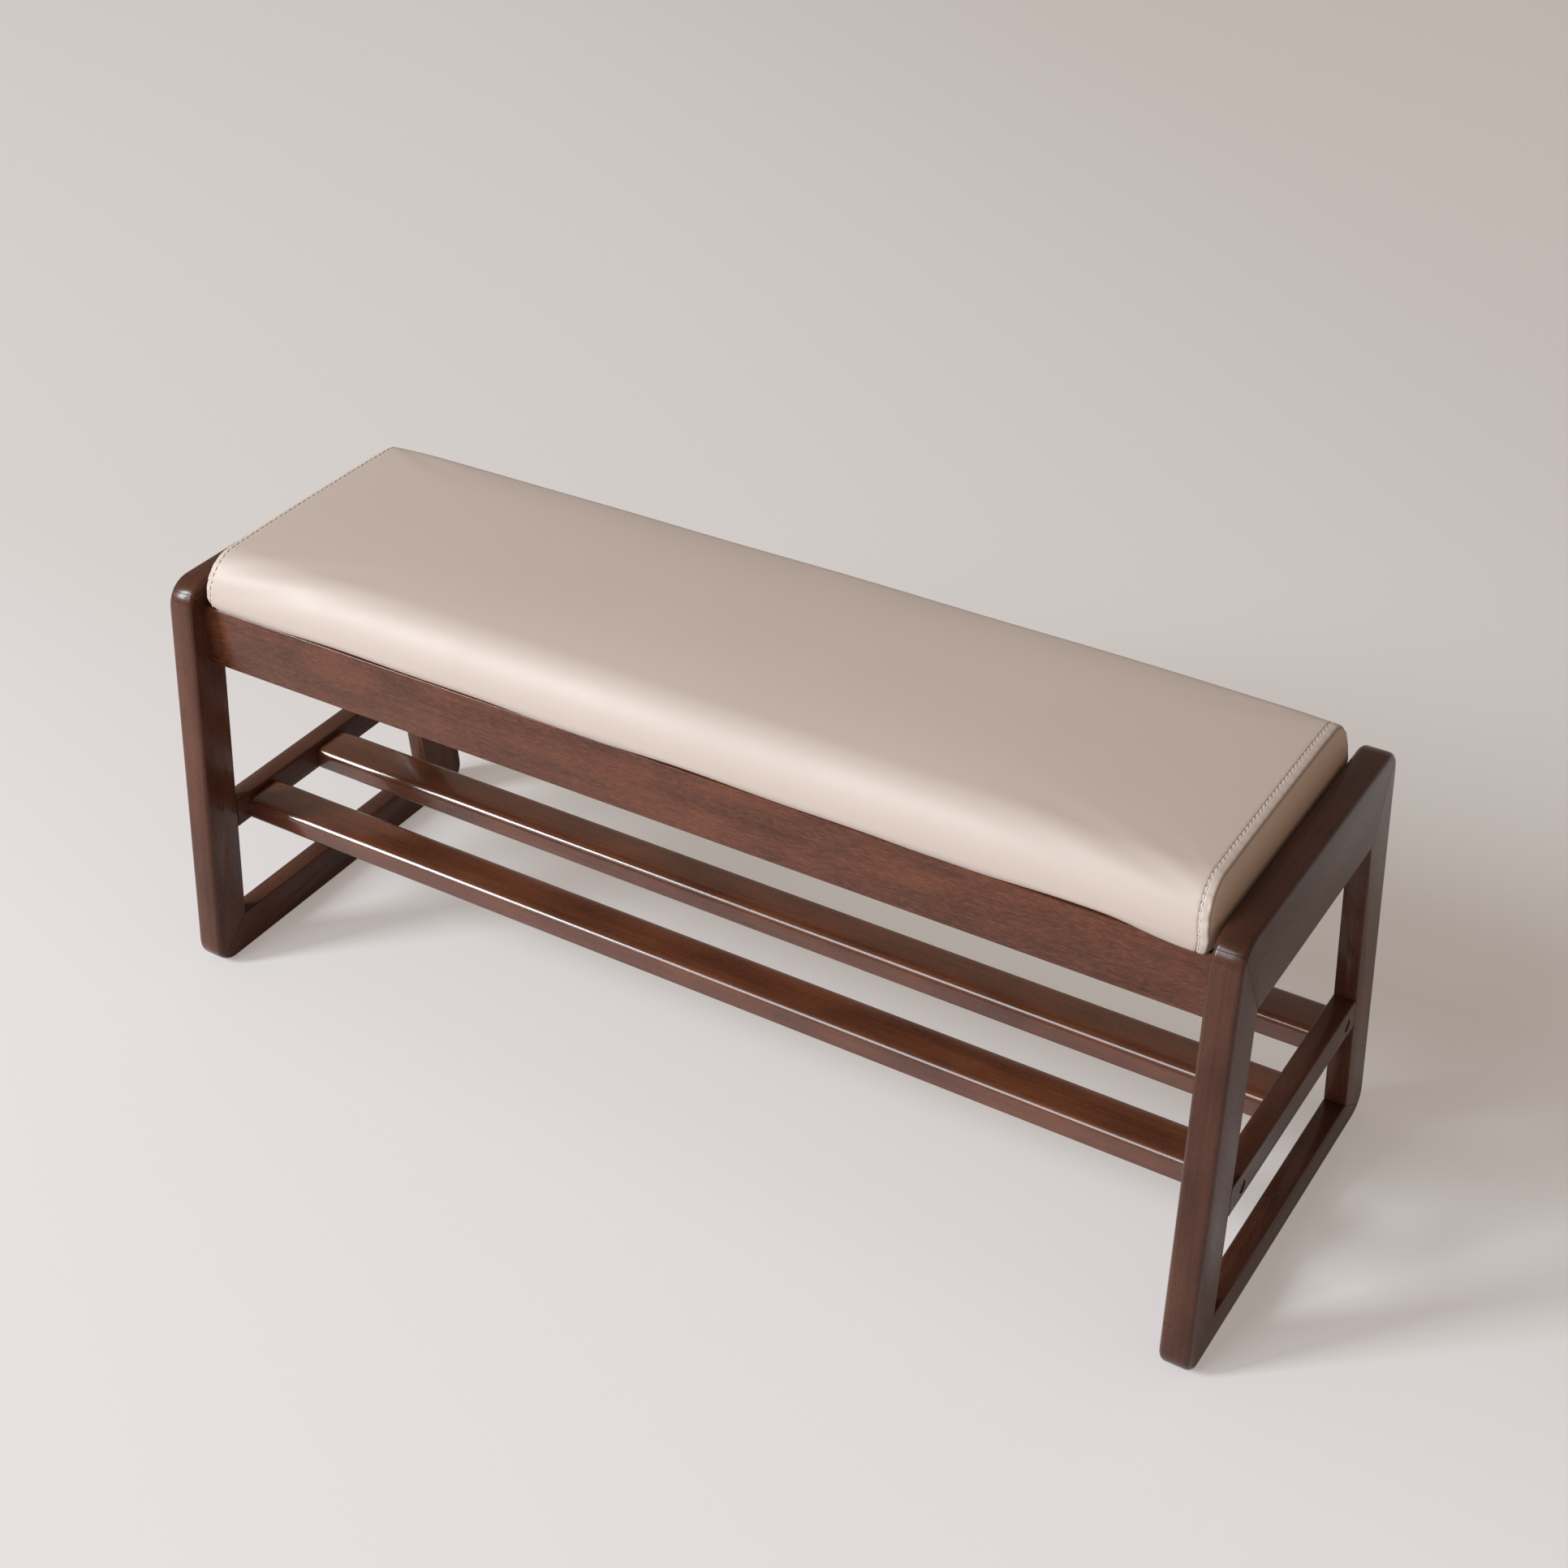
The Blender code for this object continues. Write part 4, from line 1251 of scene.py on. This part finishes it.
def floor_material(stage):
    """A pale floor, painted darker behind the bench and to the right as a falloff of light, that keeps part
    of its tone in shadows.
    """
    material, nodes, shader = new_material("pale_floor")
    axes = nodes.add("ShaderNodeSeparateXYZ", Vector=nodes.place()).outputs
    away = nodes.math("ADD", axes["Y"], nodes.math("MULTIPLY", axes["X"], FAR_FLOOR_SLANT))
    near_half = nodes.mix(nodes.ramp(axes["Y"], *NEAR_FLOOR), stage.floor, stage.floor_middle)
    colour = nodes.mix(nodes.ramp(away, *FAR_FLOOR), near_half, stage.floor_far)
    rays = nodes.add("ShaderNodeLightPath").outputs
    reflected = nodes.math("MULTIPLY", rays["Is Glossy Ray"], stage.reflected_glow)
    seen = nodes.math("MAXIMUM", rays["Is Camera Ray"], reflected)
    lit_share = nodes.ramp(seen, 0.0, 1.0, 1.0, 1.0 - stage.floor_glow)
    nodes.put(shader, Base_Color=nodes.mix(lit_share, (0.0, 0.0, 0.0), colour),
              Emission_Color=nodes.vector("MULTIPLY", colour, stage.glow_tint),
              Emission_Strength=nodes.math("MULTIPLY", seen, stage.floor_glow * GLOW_STRENGTH),
              Roughness=0.75, Specular_IOR_Level=0.2)
    return material


def add_floor(stage):
    half = stage.floor_span / 2
    corners = [(-half, -half, 0), (half, -half, 0), (half, half, 0), (-half, half, 0)]
    floor = mesh_object("studio_floor", corners, [(0, 1, 2, 3)])
    floor.data.materials.append(floor_material(stage))


def add_softbox(name, stage, watts, width, height, side):
    """A softbox that faces the middle of the bench."""
    light = bpy.data.lights.new(name, "AREA")
    light.shape = "RECTANGLE"
    light.size = width
    light.size_y = height
    light.energy = watts
    light.color = stage.softbox_colour
    towards = Vector(side).normalized()
    item = add_object(name, light)
    item.location = towards * stage.softbox_distance + SOFTBOX_AIM
    item.rotation_euler = towards.to_track_quat("Z", "Y").to_euler()


def add_sky(stage):
    """Plain surroundings, brighter near the horizon than overhead."""
    world = bpy.data.worlds.new("studio_surroundings")
    bpy.context.scene.world = world
    world.use_nodes = True
    nodes = Nodes(world.node_tree)
    direction = nodes.add("ShaderNodeTexCoord").outputs["Generated"]
    up = nodes.add("ShaderNodeSeparateXYZ", Vector=direction).outputs["Z"]
    nodes.put(world.node_tree.nodes["Background"], Color=stage.sky_colour,
              Strength=nodes.ramp(up, 0.0, SKY_TOP, stage.sky_low, stage.sky_high))


def add_camera():
    """The photograph's view."""
    data = bpy.data.cameras.new("photo_view")
    data.sensor_width = SENSOR
    data.lens = FOCAL_PIXELS / FRAME_PIXELS * SENSOR
    data.shift_y = (HORIZON_ROW - FRAME_PIXELS / 2) / FRAME_PIXELS
    data.clip_end = CAMERA_REACH
    look = (Vector(CAMERA_TARGET) - Vector(CAMERA_PLACE)).to_track_quat("-Z", "Y").to_matrix()
    turned = (look @ Matrix.Rotation(-CAMERA_ROLL, 3, "Z")).to_4x4()
    camera = add_object("photo_view", data)
    camera.matrix_world = Matrix.Translation(CAMERA_PLACE) @ turned
    bpy.context.scene.camera = camera


class BENCH_OT_set_stage(bpy.types.Operator):
    """Sets the floor, the light and the camera"""

    bl_idname = "bench.set_stage"
    bl_label = "Set the stage"

    def execute(self, context):
        stage = context.scene.bench_stage
        add_floor(stage)
        add_sky(stage)
        add_softbox("key_softbox", stage, stage.key_power, stage.key_width, stage.key_height, stage.key_from)
        add_softbox("front_softbox", stage, stage.fill_power, stage.fill_width, stage.fill_height,
                    stage.fill_from)
        add_camera()
        context.scene.view_settings.view_transform = "Standard"
        return {"FINISHED"}


# Panel and registration

class BENCH_PT_panel(bpy.types.Panel):
    """Lists the bench's settings and steps in the sidebar"""

    bl_idname = "BENCH_PT_panel"
    bl_label = "Shoe storage bench"
    bl_space_type = "VIEW_3D"
    bl_region_type = "UI"
    bl_category = "Bench"

    def draw(self, context):
        for operator in OPERATORS:
            self.layout.operator(operator.bl_idname)
        for name in SETTINGS:
            group = getattr(context.scene, name)
            box = self.layout.box()
            for prop in group.bl_rna.properties:
                if not prop.is_readonly and prop.identifier != "name":
                    box.prop(group, prop.identifier)


SETTINGS = {
    "bench_seat": BenchSeatSettings,
    "bench_wood": BenchWoodSettings,
    "bench_stage": BenchStageSettings,
}
OPERATORS = (
    BENCH_OT_stain_wood,
    BENCH_OT_finish_hidden_wood,
    BENCH_OT_blacken_bolts,
    BENCH_OT_upholster_seat,
    BENCH_OT_topstitch_seat,
    BENCH_OT_set_stage,
)
CLASSES = (*SETTINGS.values(), *OPERATORS, BENCH_PT_panel)


def register():
    for cls in CLASSES:
        bpy.utils.register_class(cls)
    for name, group in SETTINGS.items():
        setattr(bpy.types.Scene, name, PointerProperty(type=group))


def unregister():
    for name in SETTINGS:
        delattr(bpy.types.Scene, name)
    for cls in reversed(CLASSES):
        bpy.utils.unregister_class(cls)


def main():
    register()
    bpy.ops.bench.stain_wood()
    bpy.ops.bench.finish_hidden_wood()
    bpy.ops.bench.blacken_bolts()
    bpy.ops.bench.upholster_seat()
    bpy.ops.bench.topstitch_seat()
    bpy.ops.bench.set_stage()


if __name__ == "__main__":
    main()
